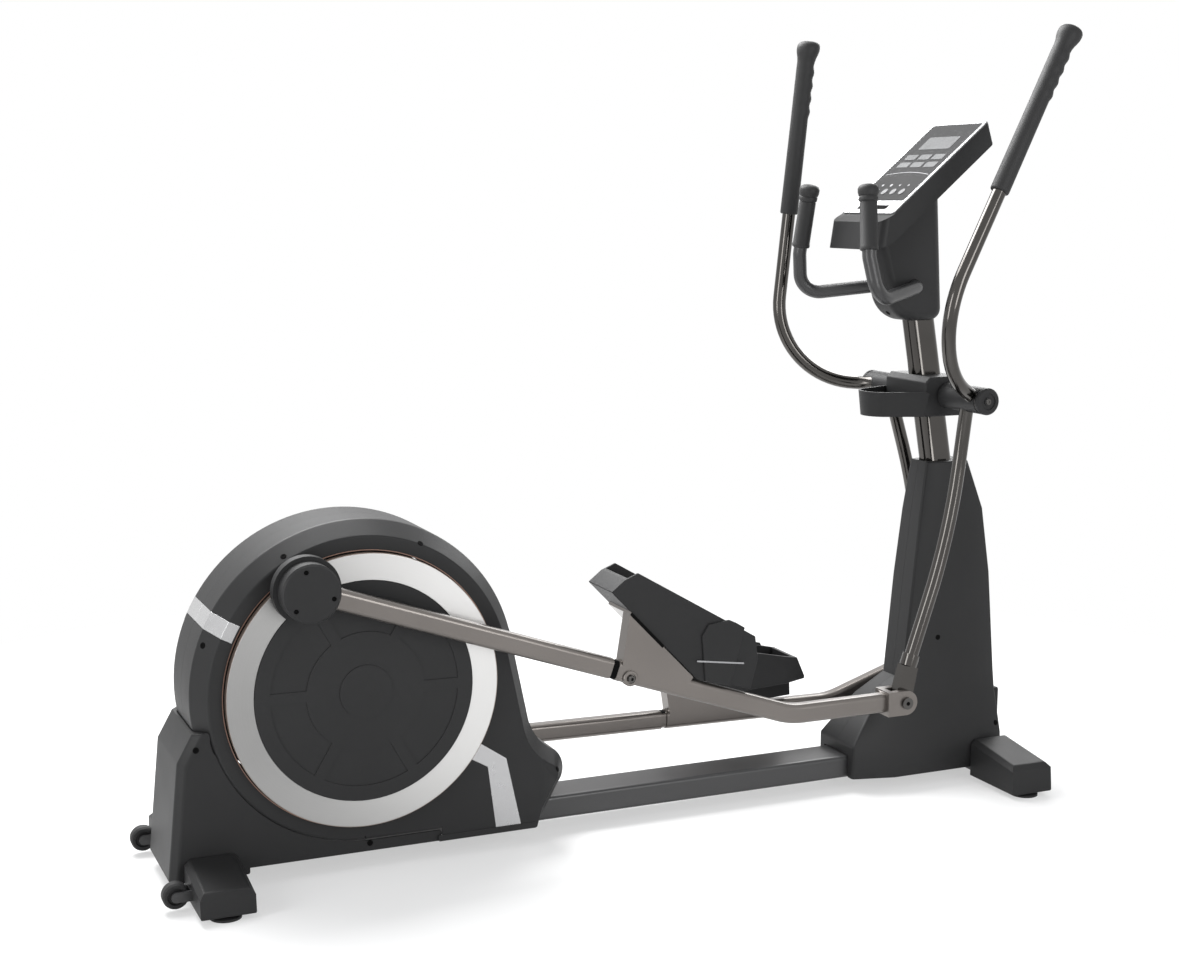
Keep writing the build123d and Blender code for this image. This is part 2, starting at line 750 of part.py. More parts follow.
# Crank discs: seat for the ring at the edge, raised middle with rings and spokes
def build_crank_disc(side):
    """Moulded round cover of one crank, with a hole for the pin."""
    pin_x, pin_z = crank_pin(side)
    turn = atan2(pin_z - CRANK_Z, pin_x - CRANK_X)
    hub = upright(CRANK_X, CRANK_Z, turn)
    with BuildPart() as disc:
        with BuildSketch(at_side(hub, side, DISC_IN)):
            Circle(DISC_R)
        extrude(amount=-side * DISC_T)
        with BuildSketch(at_side(hub, side, DISC_IN + DISC_T)):
            Circle(RING_IN_R - SEAT_GAP)
        extrude(amount=-side * (RING_T + EMBOSS))
        face_out = DISC_IN + DISC_T + RING_T + EMBOSS
        with BuildSketch(at_side(hub, side, face_out - EMBOSS)):
            Circle(RING_IN_R * 0.86)
            Circle(RING_IN_R * 0.54, mode=Mode.SUBTRACT)
            with PolarLocations(RING_IN_R * 0.7, 6):
                Rectangle(RING_IN_R * 0.5, RING_IN_R * 0.1, mode=Mode.SUBTRACT)
        extrude(amount=-side * EMBOSS, mode=Mode.SUBTRACT)
        with BuildSketch(at_side(hub, side, face_out)):
            Circle(RING_IN_R * 0.24)
        extrude(amount=-side * EMBOSS)
        with BuildSketch(at_side(hub, side, DISC_IN)):
            with Locations((CRANK_R, 0)):
                Circle(PIN_R + SEAT_GAP)
        extrude(amount=-side * (PIN_END - DISC_IN), mode=Mode.SUBTRACT)
    return disc


for disc_side in (RIGHT, LEFT):
    save(build_crank_disc(disc_side), f"{SIDE_NAMES[disc_side]}_crank_disc")


# Crank rings: flat bright rings on the disc seats
def build_crank_ring(side):
    """Ring on one disc, with a hole for the pin."""
    pin_x, pin_z = crank_pin(side)
    turn = atan2(pin_z - CRANK_Z, pin_x - CRANK_X)
    with BuildPart() as ring:
        with BuildSketch(at_side(upright(CRANK_X, CRANK_Z, turn), side, DISC_IN + DISC_T)):
            Circle(DISC_R)
            Circle(RING_IN_R, mode=Mode.SUBTRACT)
            with Locations((CRANK_R, 0)):
                Circle(PIN_R + SEAT_GAP, mode=Mode.SUBTRACT)
        extrude(amount=-side * RING_T)
    return ring


with BuildPart() as crank_rings:
    add(build_crank_ring(RIGHT).part)
    add(build_crank_ring(LEFT).part)
save(crank_rings, "crank_rings")

# Outline of the drive covers: drum, flat bottom and rounded toe round the beam
with BuildSketch(Plane.XZ) as cover_outline:
    with BuildLine():
        drum_arc = CenterArc((CRANK_X, CRANK_Z), DRUM_R, FRONT_ANGLE, 270 - FRONT_ANGLE)
        neck = drum_arc @ 0 - (drum_arc % 0) * ((drum_arc @ 0).Y - NECK_Z)
        toe_top = (TOE_X - TOE_R / 2, TOE_Z + TOE_R * 3 / 4)
        toe_low = (TOE_X - TOE_R / 4, TOE_Z - TOE_R)
        heel = (TOE_X - TOE_R * 5 / 4, CRANK_Z - DRUM_R)
        Line(drum_arc @ 0, neck)
        TangentArc(neck, toe_top, tangent=-(drum_arc % 0))
        ThreePointArc(toe_top, (TOE_X, TOE_Z), toe_low)
        Polyline(toe_low, heel, drum_arc @ 1)
    make_face()

with BuildSketch(Plane.XZ) as cover_inner:
    offset(cover_outline.sketch, amount=-COVER_WALL, kind=Kind.INTERSECTION)

# Bands of the bright strips between the upper and lower covers
RING_OPENING_R = DISC_R + DISC_GAP
STRIP_DIR = radians(STRIP_ANGLE)


def rear_band(gap):
    """Corners of the rear strip's band, widened by gap on both edges."""
    half = STRIP_W / 2 + gap
    start = RING_OPENING_R / 2
    stop = 2 * DRUM_R
    corners = []
    for run, rise in ((start, -half), (stop, -half), (stop, half), (start, half)):
        corners.append((
            CRANK_X + run * cos(STRIP_DIR) - rise * sin(STRIP_DIR),
            CRANK_Z + run * sin(STRIP_DIR) + rise * cos(STRIP_DIR),
        ))
    return corners


def front_band(gap):
    """Corners of the front strip's band: out from the ring, then down to the floor edge."""
    half = FRONT_STRIP_W / 2
    direction = radians(FRONT_STRIP_ANGLE)
    ring_x = CRANK_X + 0.8 * RING_OPENING_R * cos(direction)
    ring_z = CRANK_Z + 0.8 * RING_OPENING_R * sin(direction)
    lift = half * 3 / 4 + gap
    bend_z = CRANK_Z + RING_OPENING_R * sin(direction)
    return [
        (ring_x - lift * sin(direction), ring_z + lift * cos(direction)),
        (FRONT_STRIP_X + gap, bend_z - half * 3 / 4),
        (FRONT_STRIP_X + half * 8 / 5 + gap, 0),
        (FRONT_STRIP_X - half * 3 / 5 - gap, 0),
        (FRONT_STRIP_X - half * 3 / 2 - gap, bend_z - half * 5 / 4),
        (ring_x + lift * sin(direction), ring_z - lift * cos(direction)),
    ]


# Right half shell of the drive covers, before it is divided
with BuildPart() as cover_shell:
    with BuildSketch(Plane.XZ.offset(SEAM_GAP / 2)):
        add(cover_outline.sketch_local)
    extrude(amount=RIM_HALF - SEAM_GAP / 2)
    with BuildSketch(Plane.XZ.offset(RIM_HALF)):
        add(cover_outline.sketch_local)
    extrude(amount=COVER_SIDE - RIM_HALF, taper=COVER_TAPER)
    with BuildSketch(Plane.XZ):
        add(cover_inner.sketch_local)
    extrude(amount=RIM_HALF, mode=Mode.SUBTRACT)
    with BuildSketch(Plane.XZ.offset(RIM_HALF)):
        add(cover_inner.sketch_local)
    extrude(amount=COVER_SIDE - RIM_HALF - COVER_WALL, taper=COVER_TAPER, mode=Mode.SUBTRACT)
    with BuildSketch(Plane.XZ.offset(COVER_SIDE - COVER_WALL)):
        with BuildLine():
            Polyline(
                (SKIRT_END_X, COVER_BOTTOM),
                (TOE_X - TOE_R * 7 / 4, COVER_BOTTOM),
                (TOE_X - TOE_R * 5 / 4, TOE_Z - TOE_R),
                (SKIRT_END_X, TOE_Z - TOE_R),
                close=True,
            )
        make_face()
    extrude(amount=COVER_WALL)
    with BuildSketch(Plane.XZ):
        with Locations((CRANK_X, CRANK_Z)):
            Circle(RING_OPENING_R)
    extrude(amount=2 * COVER_SIDE, mode=Mode.SUBTRACT)
    with BuildSketch(Plane.YZ.offset(CRANK_X - DRUM_R)):
        Rectangle(BEAM_W + 2 * PLATE_GAP, 2 * (BEAM_TOP + PLATE_GAP))
    extrude(amount=2 * DRUM_R + DRUM_R, mode=Mode.SUBTRACT)

# The shell without the strips falls into the upper and the lower cover
with BuildPart() as cover_halves:
    add(cover_shell.part)
    with BuildSketch(Plane.XZ):
        for band in (rear_band(TRIM_GAP), front_band(TRIM_GAP)):
            with BuildLine():
                Polyline(*band, close=True)
            make_face()
    extrude(amount=2 * COVER_SIDE, mode=Mode.SUBTRACT)

with BuildPart() as right_upper_cover:
    add(cover_halves.solids().sort_by(Axis.Z)[-1])
save(right_upper_cover, "right_upper_cover")

with BuildPart() as right_lower_cover:
    add(cover_halves.solids().sort_by(Axis.Z)[0])
save(right_lower_cover, "right_lower_cover")

with BuildPart() as left_upper_cover:
    mirror(right_upper_cover.part, about=Plane.XZ)
save(left_upper_cover, "left_upper_cover")

with BuildPart() as left_lower_cover:
    mirror(right_lower_cover.part, about=Plane.XZ)
save(left_lower_cover, "left_lower_cover")

with BuildPart() as cover_trim_strips:
    add(cover_shell.part)
    with BuildSketch(Plane.XZ):
        for band in (rear_band(0), front_band(0)):
            with BuildLine():
                Polyline(*band, close=True)
            make_face()
    extrude(amount=2 * COVER_SIDE, mode=Mode.INTERSECT)
    mirror(about=Plane.XZ)
save(cover_trim_strips, "cover_trim_strips")

# Rear base cover behind and below the drum
BASE_SHOULDER_X = BASE_REAR_X + BASE_LEAN
SKIRT_INSET = BASE_HALF - COVER_WALL - RIM_HALF
SKIRT_SLOPE = sin(radians(COVER_TAPER)) / cos(radians(COVER_TAPER))
SKIRT_TOP = CRANK_Z - DRUM_R + SKIRT_INSET * SKIRT_SLOPE - PLATE_GAP
with BuildPart() as rear_base_cover:
    with BuildSketch(Plane.XZ):
        with BuildLine():
            Polyline(
                (BASE_REAR_X, BASE_BOTTOM),
                (BASE_SHOULDER_X, BASE_SHOULDER_Z),
                (BASE_SHOULDER_X + BASE_TOP_DX, BASE_SHOULDER_Z + BASE_TOP_DZ),
                (CRANK_X, CRANK_Z),
                (CRANK_X, SKIRT_TOP),
                (SKIRT_END_X - TRIM_GAP, SKIRT_TOP),
                (SKIRT_END_X - TRIM_GAP, COVER_BOTTOM),
                (BASE_STEP_X, COVER_BOTTOM),
                (BASE_STEP_X, BASE_BOTTOM),
                close=True,
            )
        make_face()
    extrude(amount=BASE_HALF)
    base_corners = rear_base_cover.edges().filter_by(lambda edge: edge.center().X < BASE_SHOULDER_X + BASE_TOP_DX)
    base_corners = base_corners.filter_by(lambda edge: edge.center().Y < -BASE_HALF / 2)
    chamfer(base_corners.filter_by(lambda edge: edge.length > BASE_TOP_DX), BASE_CHAMFER)
    with BuildSketch(Plane.XZ):
        with Locations((CRANK_X, CRANK_Z)):
            Circle(DRUM_R + PLATE_GAP)
    extrude(amount=RIM_HALF, mode=Mode.SUBTRACT)
    with BuildSketch(Plane.XZ.offset(RIM_HALF)):
        with Locations((CRANK_X, CRANK_Z)):
            Circle(DRUM_R + PLATE_GAP)
    extrude(amount=BASE_HALF, taper=COVER_TAPER, mode=Mode.SUBTRACT)
    with BuildSketch(Plane.XZ):
        with BuildLine():
            Polyline(
                (BASE_REAR_X + BASE_CHAMFER, 0),
                (BASE_SHOULDER_X + BASE_CHAMFER, BASE_SHOULDER_Z),
                (CRANK_X, BASE_SHOULDER_Z + BASE_TOP_DZ),
                (SKIRT_END_X, BASE_SHOULDER_Z),
                (SKIRT_END_X, 0),
                close=True,
            )
        make_face()
    extrude(amount=BASE_HALF - COVER_WALL, mode=Mode.SUBTRACT)
    with BuildSketch(Plane.XZ):
        with Locations((REAR_BAR_X, BAR_BOTTOM)):
            Rectangle(BAR_W + 2 * PLATE_GAP, 2 * (BAR_H + PLATE_GAP))
    extrude(amount=2 * BASE_HALF, mode=Mode.SUBTRACT)
    mirror(about=Plane.XZ)
save(rear_base_cover, "rear_base_cover")

# Mast: leaning flat-oval tube with its foot block
def mast_plane(z):
    """Plane square to the mast at a height on its middle line."""
    return Plane(origin=(mast_x(z), 0, z), x_dir=(cos(LEAN), 0, sin(LEAN)), z_dir=(-sin(LEAN), 0, cos(LEAN)))


MAST_LOW = FOOT_BLOCK_TOP - MAST_D
with BuildPart() as mast:
    with BuildSketch(mast_plane(MAST_LOW)):
        SlotOverall(MAST_D, MAST_W)
        SlotOverall(MAST_D - 2 * MAST_WALL, MAST_W - 2 * MAST_WALL, mode=Mode.SUBTRACT)
    extrude(amount=(MAST_TOP - MAST_LOW) / cos(LEAN))
    split(bisect_by=Plane.XY.offset(FOOT_BLOCK_TOP), keep=Keep.TOP)
    with BuildSketch(Plane.XY.offset(BAR_BOTTOM + BAR_H)):
        with Locations((FRONT_BAR_X + (FOOT_BLOCK_L - BAR_W) / 2, 0)):
            Rectangle(FOOT_BLOCK_L, FOOT_BLOCK_W)
    extrude(amount=FOOT_BLOCK_TOP - BAR_BOTTOM - BAR_H)
    with BuildSketch(across(PIVOT_X, -MAST_W, PIVOT_Z)):
        Circle(AXLE_R + RUN_FIT)
    extrude(amount=2 * MAST_W, mode=Mode.SUBTRACT)
save(mast, "mast")

# Pivot axle through the mast
with BuildPart() as pivot_axle:
    with BuildSketch(across(PIVOT_X, -AXLE_HALF, PIVOT_Z)):
        Circle(AXLE_R)
    extrude(amount=2 * AXLE_HALF)
save(pivot_axle, "pivot_axle")


# Column covers: faceted moulded halves round the foot of the mast
COLUMN_FRONT_X = mast_x(COLUMN_BASE_Z) + COLUMN_BASE_FRONT
COLUMN_LEVELS = (
    (COLUMN_BASE_Z, COLUMN_BASE_BACK, COLUMN_BASE_FRONT, COLUMN_BASE_HALF),
    (COLUMN_FLARE_Z, COLUMN_FLARE_BACK, COLUMN_FLARE_FRONT, COLUMN_HALF + COLUMN_WALL),
    (COLUMN_NECK_Z, COLUMN_NECK_BACK, COLUMN_NECK_FRONT, COLUMN_HALF),
    (COLUMN_WAIST_Z, COLUMN_WAIST_BACK, COLUMN_WAIST_FRONT, COLUMN_HALF),
    (COLUMN_SHOULDER_Z, COLUMN_SHOULDER_BACK, COLUMN_SHOULDER_FRONT, COLUMN_SHOULDER_HALF),
    (COLUMN_TOP, COLUMN_TOP_BACK, COLUMN_TOP_FRONT, COLUMN_TOP_HALF),
)


def column_section(z, back, front, half, wall):
    """Corners of the left half of one level section, moved in by the wall."""
    rear_x = mast_x(z) - back
    front_x = mast_x(z) + front
    return [
        (rear_x + wall, 0),
        (rear_x + wall, half * COLUMN_FACET - wall),
        (rear_x + half + wall, half - wall),
        (front_x - half - wall, half - wall),
        (front_x - wall, half * COLUMN_FACET - wall),
        (front_x - wall, 0),
    ]


def column_sections(wall):
    """Level sections of the column from its lower edge to its top, which the wall closes."""
    levels = [(COLUMN_BOTTOM - wall, column_section(*COLUMN_LEVELS[0], wall))]
    for level in COLUMN_LEVELS[:-1]:
        levels.append((level[0], column_section(*level, wall)))
    levels.append((COLUMN_TOP - wall, column_section(*COLUMN_LEVELS[-1], wall)))
    return levels


with BuildPart() as column_hollow:
    for level, corners in column_sections(COLUMN_WALL):
        with BuildSketch(Plane.XY.offset(level)):
            with BuildLine():
                Polyline(*corners, close=True)
            make_face()
    loft(ruled=True)

with BuildPart() as left_column_cover:
    for level, corners in column_sections(0):
        with BuildSketch(Plane.XY.offset(level)):
            with BuildLine():
                Polyline(*corners, close=True)
            make_face()
    loft(ruled=True)
    with BuildSketch(Plane.YZ.offset(COLUMN_FRONT_X - INLET_DEPTH)):
        with Locations((INLET_W / 4, (COLUMN_BASE_Z + INLET_TOP) / 2)):
            Rectangle(INLET_W / 2, INLET_TOP - COLUMN_BASE_Z)
    extrude(amount=2 * INLET_DEPTH)
    add(column_hollow.part, mode=Mode.SUBTRACT)
    with BuildSketch(mast_plane(COLUMN_WAIST_Z)):
        SlotOverall(MAST_D + 2 * PLATE_GAP, MAST_W + 2 * PLATE_GAP)
    extrude(amount=COLUMN_TOP, mode=Mode.SUBTRACT)
    with BuildSketch(Plane.YZ):
        Rectangle(BEAM_W + 2 * PLATE_GAP, 2 * (BEAM_TOP + PLATE_GAP))
    extrude(amount=FRONT_BAR_X, mode=Mode.SUBTRACT)
    with BuildSketch(Plane.XZ):
        with Locations((FRONT_BAR_X, 0)):
            Rectangle(BAR_W + 2 * PLATE_GAP, 2 * (BAR_BOTTOM + BAR_H + PLATE_GAP))
    extrude(amount=-2 * COLUMN_BASE_HALF, mode=Mode.SUBTRACT)
    split(bisect_by=Plane.XZ.offset(-SEAM_GAP / 2), keep=Keep.BOTTOM)
save(left_column_cover, "left_column_cover")

with BuildPart() as right_column_cover:
    mirror(left_column_cover.part, about=Plane.XZ)
save(right_column_cover, "right_column_cover")

# Cup tray: open boat in front of the user, moulded with the collar round the mast
COLLAR_REAR_X = PIVOT_X - MAST_D / 2 - COLLAR_WALL - 8
COLLAR_FRONT_X = PIVOT_X + MAST_D / 2 + COLLAR_WALL


def tray_outline(inset, level):
    """Sketch of the tray's plan at a level, moved in by inset."""
    nose_x = TRAY_REAR_X + TRAY_HALF / 3 + inset / 2
    nose_y = TRAY_NOSE_HALF - inset
    with BuildSketch(Plane.XY.offset(level)) as outline:
        with BuildLine():
            Polyline(
                (nose_x, -nose_y),
                (COLLAR_REAR_X - inset, inset - TRAY_HALF),
                (COLLAR_REAR_X - inset, TRAY_HALF - inset),
                (nose_x, nose_y),
            )
            ThreePointArc((nose_x, nose_y), (TRAY_REAR_X + inset, 0), (nose_x, -nose_y))
        make_face()
    return outline


with BuildPart() as cup_tray:
    extrude(tray_outline(0, TRAY_BOTTOM).sketch, amount=TRAY_DEPTH, taper=-TRAY_FLARE)
    hollow = tray_outline(TRAY_WALL, TRAY_BOTTOM + TRAY_WALL)
    extrude(hollow.sketch, amount=TRAY_DEPTH, taper=-TRAY_FLARE, mode=Mode.SUBTRACT)
    with BuildSketch(Plane.XZ.offset(-COLLAR_HALF)):
        with BuildLine():
            Polyline(
                (COLLAR_REAR_X, COLLAR_BOTTOM),
                (COLLAR_FRONT_X, COLLAR_BOTTOM),
                (COLLAR_FRONT_X, COLLAR_TOP - COLLAR_WALL),
                (COLLAR_FRONT_X - COLLAR_WALL, COLLAR_TOP),
                (COLLAR_REAR_X + COLLAR_WALL, COLLAR_TOP),
                (COLLAR_REAR_X, COLLAR_TOP - COLLAR_WALL),
                close=True,
            )
        make_face()
    extrude(amount=2 * COLLAR_HALF)
    with BuildSketch(mast_plane(BEAM_TOP)):
        SlotOverall(MAST_D + 2 * SEAT_GAP, MAST_W + 2 * SEAT_GAP)
    extrude(amount=2 * COLLAR_TOP, mode=Mode.SUBTRACT)
    with BuildSketch(across(PIVOT_X, -2 * COLLAR_HALF, PIVOT_Z)):
        Circle(AXLE_R + SEAT_GAP)
    extrude(amount=4 * COLLAR_HALF, mode=Mode.SUBTRACT)
save(cup_tray, "cup_tray")


def grip_axis(side):
    """Top point of a swing grip and the direction of its middle line, up from the elbow."""
    plane = swing_plane(side)
    elbow = spot(plane, side, ELBOW_A, ELBOW_Y, ELBOW_B)
    top = spot(plane, side, GRIP_TOP_A, GRIP_TOP_Y, GRIP_TOP_B)
    return top, (top - elbow).normalized()


# Swing arms: pivot sleeve, cranked upper tube, bowed lower tube and tongue
def build_swing_arm(side):
    """Welded swing arm of one side."""
    plane = swing_plane(side)
    top, axis_dir = grip_axis(side)
    with BuildPart() as arm:
        with BuildSketch(at_side(plane, side, SLEEVE_IN)):
            Circle(SLEEVE_R)
        extrude(amount=-side * (SLEEVE_OUT - SLEEVE_IN))
        with BuildLine() as upper_path:
            FilletPolyline(
                spot(plane, side, 0, UPPER_Y, 0),
                spot(plane, side, ELBOW_A, ELBOW_Y, ELBOW_B),
                top - axis_dir * GRIP_END_R,
                radius=ELBOW_R,
            )
        upper_wire = upper_path.wire()
        with BuildSketch(Plane(origin=upper_wire @ 0, z_dir=upper_wire % 0)):
            Circle(ARM_TUBE_R)
        sweep(path=upper_wire)
        with BuildLine() as lower_path:
            FilletPolyline(
                spot(plane, side, 0, LOWER_Y, 0),
                spot(plane, side, LOWER_BOW, LOWER_Y, LOWER_BOW_B),
                spot(plane, side, 0, LINK_Y, TONGUE_L - ROCKER_L),
                radius=LOWER_BOW_R,
            )
        lower_wire = lower_path.wire()
        with BuildSketch(Plane(origin=lower_wire @ 0, z_dir=lower_wire % 0)):
            Circle(ARM_TUBE_R)
        sweep(path=lower_wire)
        with BuildSketch(Plane(origin=lower_wire @ 1, z_dir=-(lower_wire % 1))):
            Circle(COLLAR_R)
        extrude(amount=COLLAR_L)
        with BuildSketch(at_side(plane, side, LINK_Y - TONGUE_T / 2)):
            with BuildLine():
                Polyline(
                    (-TONGUE_R, -ROCKER_L),
                    (TONGUE_R, -ROCKER_L),
                    (COLLAR_R, TONGUE_L - ROCKER_L),
                    (-COLLAR_R, TONGUE_L - ROCKER_L),
                    close=True,
                )
            make_face()
            with Locations((0, -ROCKER_L)):
                Circle(TONGUE_R)
                Circle(LINK_PIN_R + RUN_FIT, mode=Mode.SUBTRACT)
        extrude(amount=-side * TONGUE_T)
        with BuildSketch(at_side(plane, side, SLEEVE_IN)):
            Circle(AXLE_R + RUN_FIT)
        extrude(amount=-side * (SLEEVE_OUT - SLEEVE_IN), mode=Mode.SUBTRACT)
    return arm


# Swing grips: moulded sleeves with finger waves and a bulb at the top
def build_swing_grip(side):
    """Grip of one side, round the straight top of the swing arm's tube."""
    top, axis_dir = grip_axis(side)
    low = top - axis_dir * GRIP_L
    wave = GRIP_L / 16
    with BuildPart() as grip:
        with BuildSketch(Plane(origin=low, x_dir=axis_dir, z_dir=axis_dir.cross(Vector(0, 1, 0)))):
            with BuildLine():
                Polyline((GRIP_L / 2, GRIP_R - 1), (0, GRIP_R), (0, 0), (GRIP_L, 0), (GRIP_L, GRIP_END_R / 3))
                waves = [(GRIP_L / 2 + step * wave / 2, GRIP_R + (step % 2) - 1) for step in range(9)]
                Polyline(
                    *waves,
                    (GRIP_L - 2 * GRIP_END_R, GRIP_R + 1),
                    (GRIP_L - GRIP_END_R, GRIP_END_R),
                    (GRIP_L - GRIP_END_R / 3, GRIP_END_R * 3 / 4),
                    (GRIP_L, GRIP_END_R / 3),
                )
            make_face()
        revolve(axis=Axis(low, axis_dir))
        with BuildSketch(Plane(origin=low, z_dir=axis_dir)):
            Circle(ARM_TUBE_R + RUN_FIT)
        extrude(amount=GRIP_L - GRIP_END_R + SEAT_GAP, mode=Mode.SUBTRACT)
    return grip


# Pivot caps on the sleeve ends
def build_pivot_cap(side):
    """Round end cap with a recessed ring and a bolt head."""
    plane = swing_plane(side)
    with BuildPart() as cap:
        with BuildSketch(at_side(plane, side, AXLE_HALF + SEAT_GAP)):
            Circle(CAP_R)
        extrude(amount=-side * CAP_T)
        chamfer(cap.faces().sort_by(Axis.Y)[-1 if side == LEFT else 0].edges(), CAP_T / 3)
        with BuildSketch(at_side(plane, side, AXLE_HALF + SEAT_GAP + CAP_T * 3 / 4)):
            Circle(CAP_R * 0.62)
            Circle(CAP_R * 0.3, mode=Mode.SUBTRACT)
        extrude(amount=-side * CAP_T, mode=Mode.SUBTRACT)
    return cap


# Centre line of the link tube, in the link's plane
BEND_SLOPE = -BEND_DROP / BEND_U


def tube_top(u):
    """Height of the tube's top face on its straight rear stretch."""
    return u * BEND_SLOPE + TUBE_H / 2


REAR_TUBE_TILT = atan2(-BEND_DROP, BEND_U)
FRONT_TUBE_TILT = atan2(BEND_DROP, LINK_L - BEND_U)


def tube_section(side):
    """Plane square to the straight stretch of the link tube, at the crank pin."""
    slope = upright(0, 0, link_tilt(side) + REAR_TUBE_TILT)
    return Plane(origin=spot(link_plane(side), side, 0, LINK_Y, 0), x_dir=(0, 1, 0), z_dir=slope.x_dir)


# Rear half of the link: hub, tube and spigot
def build_link_rear(side):
    """Hub on the crank pin with the rear tube and the spigot that enters the front tube."""
    plane = link_plane(side)
    section = tube_section(side)
    with BuildPart() as rear:
        with BuildSketch(section):
            RectangleRounded(TUBE_W, TUBE_H, TUBE_R)
        extrude(amount=SPLICE_U - SPLICE_GAP)
        with BuildSketch(section):
            RectangleRounded(
                TUBE_W - 2 * TUBE_WALL - 2 * SEAT_GAP, TUBE_H - 2 * TUBE_WALL - 2 * SEAT_GAP, TUBE_R - TUBE_WALL
            )
        extrude(amount=SPLICE_U + SPIGOT_L)
        with BuildSketch(at_side(plane, side, HUB_IN)):
            Circle(HUB_R)
        extrude(amount=-side * (HUB_OUT - HUB_IN))
        with BuildSketch(at_side(plane, side, HUB_IN)):
            Circle(HUB_BORE_R)
        extrude(amount=-side * (HUB_OUT - HUB_IN) / 2, mode=Mode.SUBTRACT)
    return rear


# Hub covers: stepped cups round the hubs with three screw sinks
def build_hub_cover(side):
    """Round cover of the link hub, open where the tube leaves it."""
    plane = link_plane(side)
    with BuildPart() as lid:
        with BuildSketch(at_side(plane, side, HUB_IN)):
            Circle(SKIRT_R)
            Circle(HUB_R + SEAT_GAP, mode=Mode.SUBTRACT)
        extrude(amount=-side * SKIRT_T)
        with BuildSketch(at_side(plane, side, HUB_IN + SKIRT_T)):
            Circle(LID_R)
            Circle(HUB_R + SEAT_GAP, mode=Mode.SUBTRACT)
        extrude(amount=-side * (HUB_OUT - HUB_IN - SKIRT_T))
        with BuildSketch(at_side(plane, side, HUB_OUT)):
            Circle(LID_R)
        extrude(amount=-side * LID_T)
        chamfer(lid.faces().sort_by(Axis.Y)[-1 if side == LEFT else 0].edges(), LID_T / 3)
        with BuildSketch(at_side(plane, side, HUB_OUT + LID_T / 2)):
            with PolarLocations(LID_R * 0.76, 3, start_angle=CRANK_ANGLE):
                Circle(LID_R / 12)
        extrude(amount=-side * LID_T, mode=Mode.SUBTRACT)
        with BuildSketch(tube_section(side)):
            RectangleRounded(TUBE_W + 2 * SEAT_GAP, TUBE_H + 2 * SEAT_GAP, TUBE_R + SEAT_GAP)
        extrude(amount=2 * SKIRT_R, mode=Mode.SUBTRACT)
    return lid


# Front half of the link: tube with its bend and the clevis
def build_link_front(side):
    """Front tube from the splice through the bend to the clevis on the swing arm."""
    plane = link_plane(side)
    start = spot(plane, side, SPLICE_U, LINK_Y, SPLICE_U * BEND_SLOPE)
    bend = spot(plane, side, BEND_U, LINK_Y, -BEND_DROP)
    reach = LINK_L - CLEVIS_BACK * cos(FRONT_TUBE_TILT)
    stop = spot(plane, side, reach, LINK_Y, -CLEVIS_BACK * sin(FRONT_TUBE_TILT))
    with BuildPart() as front:
        with BuildLine() as path:
            FilletPolyline(start, bend, stop, radius=BEND_R)
        wire = path.wire()
        with BuildSketch(Plane(origin=wire @ 0, x_dir=(0, 1, 0), z_dir=wire % 0)):
            RectangleRounded(TUBE_W, TUBE_H, TUBE_R)
            RectangleRounded(TUBE_W - 2 * TUBE_WALL, TUBE_H - 2 * TUBE_WALL, TUBE_R - TUBE_WALL, mode=Mode.SUBTRACT)
        sweep(path=wire)
        half = TONGUE_T / 2 + SLIDE_GAP + CHEEK_T
        joint_x, joint_z = front_joint(side)
        clevis = upright(joint_x, joint_z, link_tilt(side) + FRONT_TUBE_TILT)
        lean = radians(SLOT_LEAN)
        slot_back = TONGUE_R + SLIDE_GAP + CLEVIS_H / 2 * sin(lean) / cos(lean)
        with BuildSketch(at_side(clevis, side, LINK_Y - half)):
            Circle(CLEVIS_H / 2)
            with Locations((-CLEVIS_BACK / 2, 0)):
                Rectangle(CLEVIS_BACK, CLEVIS_H)
        extrude(amount=-side * 2 * half)
        with BuildSketch(at_side(clevis, side, LINK_Y - TONGUE_T / 2 - SLIDE_GAP)):
            with Locations(((CLEVIS_H - slot_back) / 2, 0)):
                Rectangle(CLEVIS_H + slot_back, 2 * CLEVIS_H)
        extrude(amount=-side * 2 * (TONGUE_T / 2 + SLIDE_GAP), mode=Mode.SUBTRACT)
        with BuildSketch(at_side(clevis, side, LINK_Y - half)):
            Circle(LINK_PIN_R + RUN_FIT)
        extrude(amount=-side * 2 * half, mode=Mode.SUBTRACT)
    return front


# Link pins through the clevis and the swing arm's tongue
def build_link_pin(side):
    """Headed pin of the front joint."""
    joint_x, joint_z = front_joint(side)
    plane = upright(joint_x, joint_z, 0)
    half = TONGUE_T / 2 + SLIDE_GAP + CHEEK_T
    with BuildPart() as pin:
        with BuildSketch(at_side(plane, side, LINK_Y - half)):
            Circle(LINK_PIN_R)
        extrude(amount=-side * 2 * half)
        with BuildSketch(at_side(plane, side, LINK_Y + half)):
            Circle(PIN_HEAD_R)
        extrude(amount=-side * PIN_HEAD_T)
        with BuildSketch(at_side(plane, side, LINK_Y - half)):
            RegularPolygon(PIN_HEAD_R, 6)
        extrude(amount=side * PIN_HEAD_T)
    return pin


# Pedal outline, in the link's plane
SOLE_SLOPE = (SOLE_KNEE_W - HEEL_W) / (SOLE_KNEE_U - HEEL_U)
TREAD_DROP = sin(radians(TREAD_SLOPE)) / cos(radians(TREAD_SLOPE))
RIM_SLOPE = (TOE_RIM_W - RIM_W) / (TOE_RIM_U - RIM_U)
TOE_SOLE_U = HEEL_U + (TOE_SOLE_W - HEEL_W) / SOLE_SLOPE
GUARD_STEP = (TOE_RIM_U - GUARD_U) / GUARD_STEPS
FLANK_IN = LINK_Y - TUBE_W / 2 - PLATE_GAP


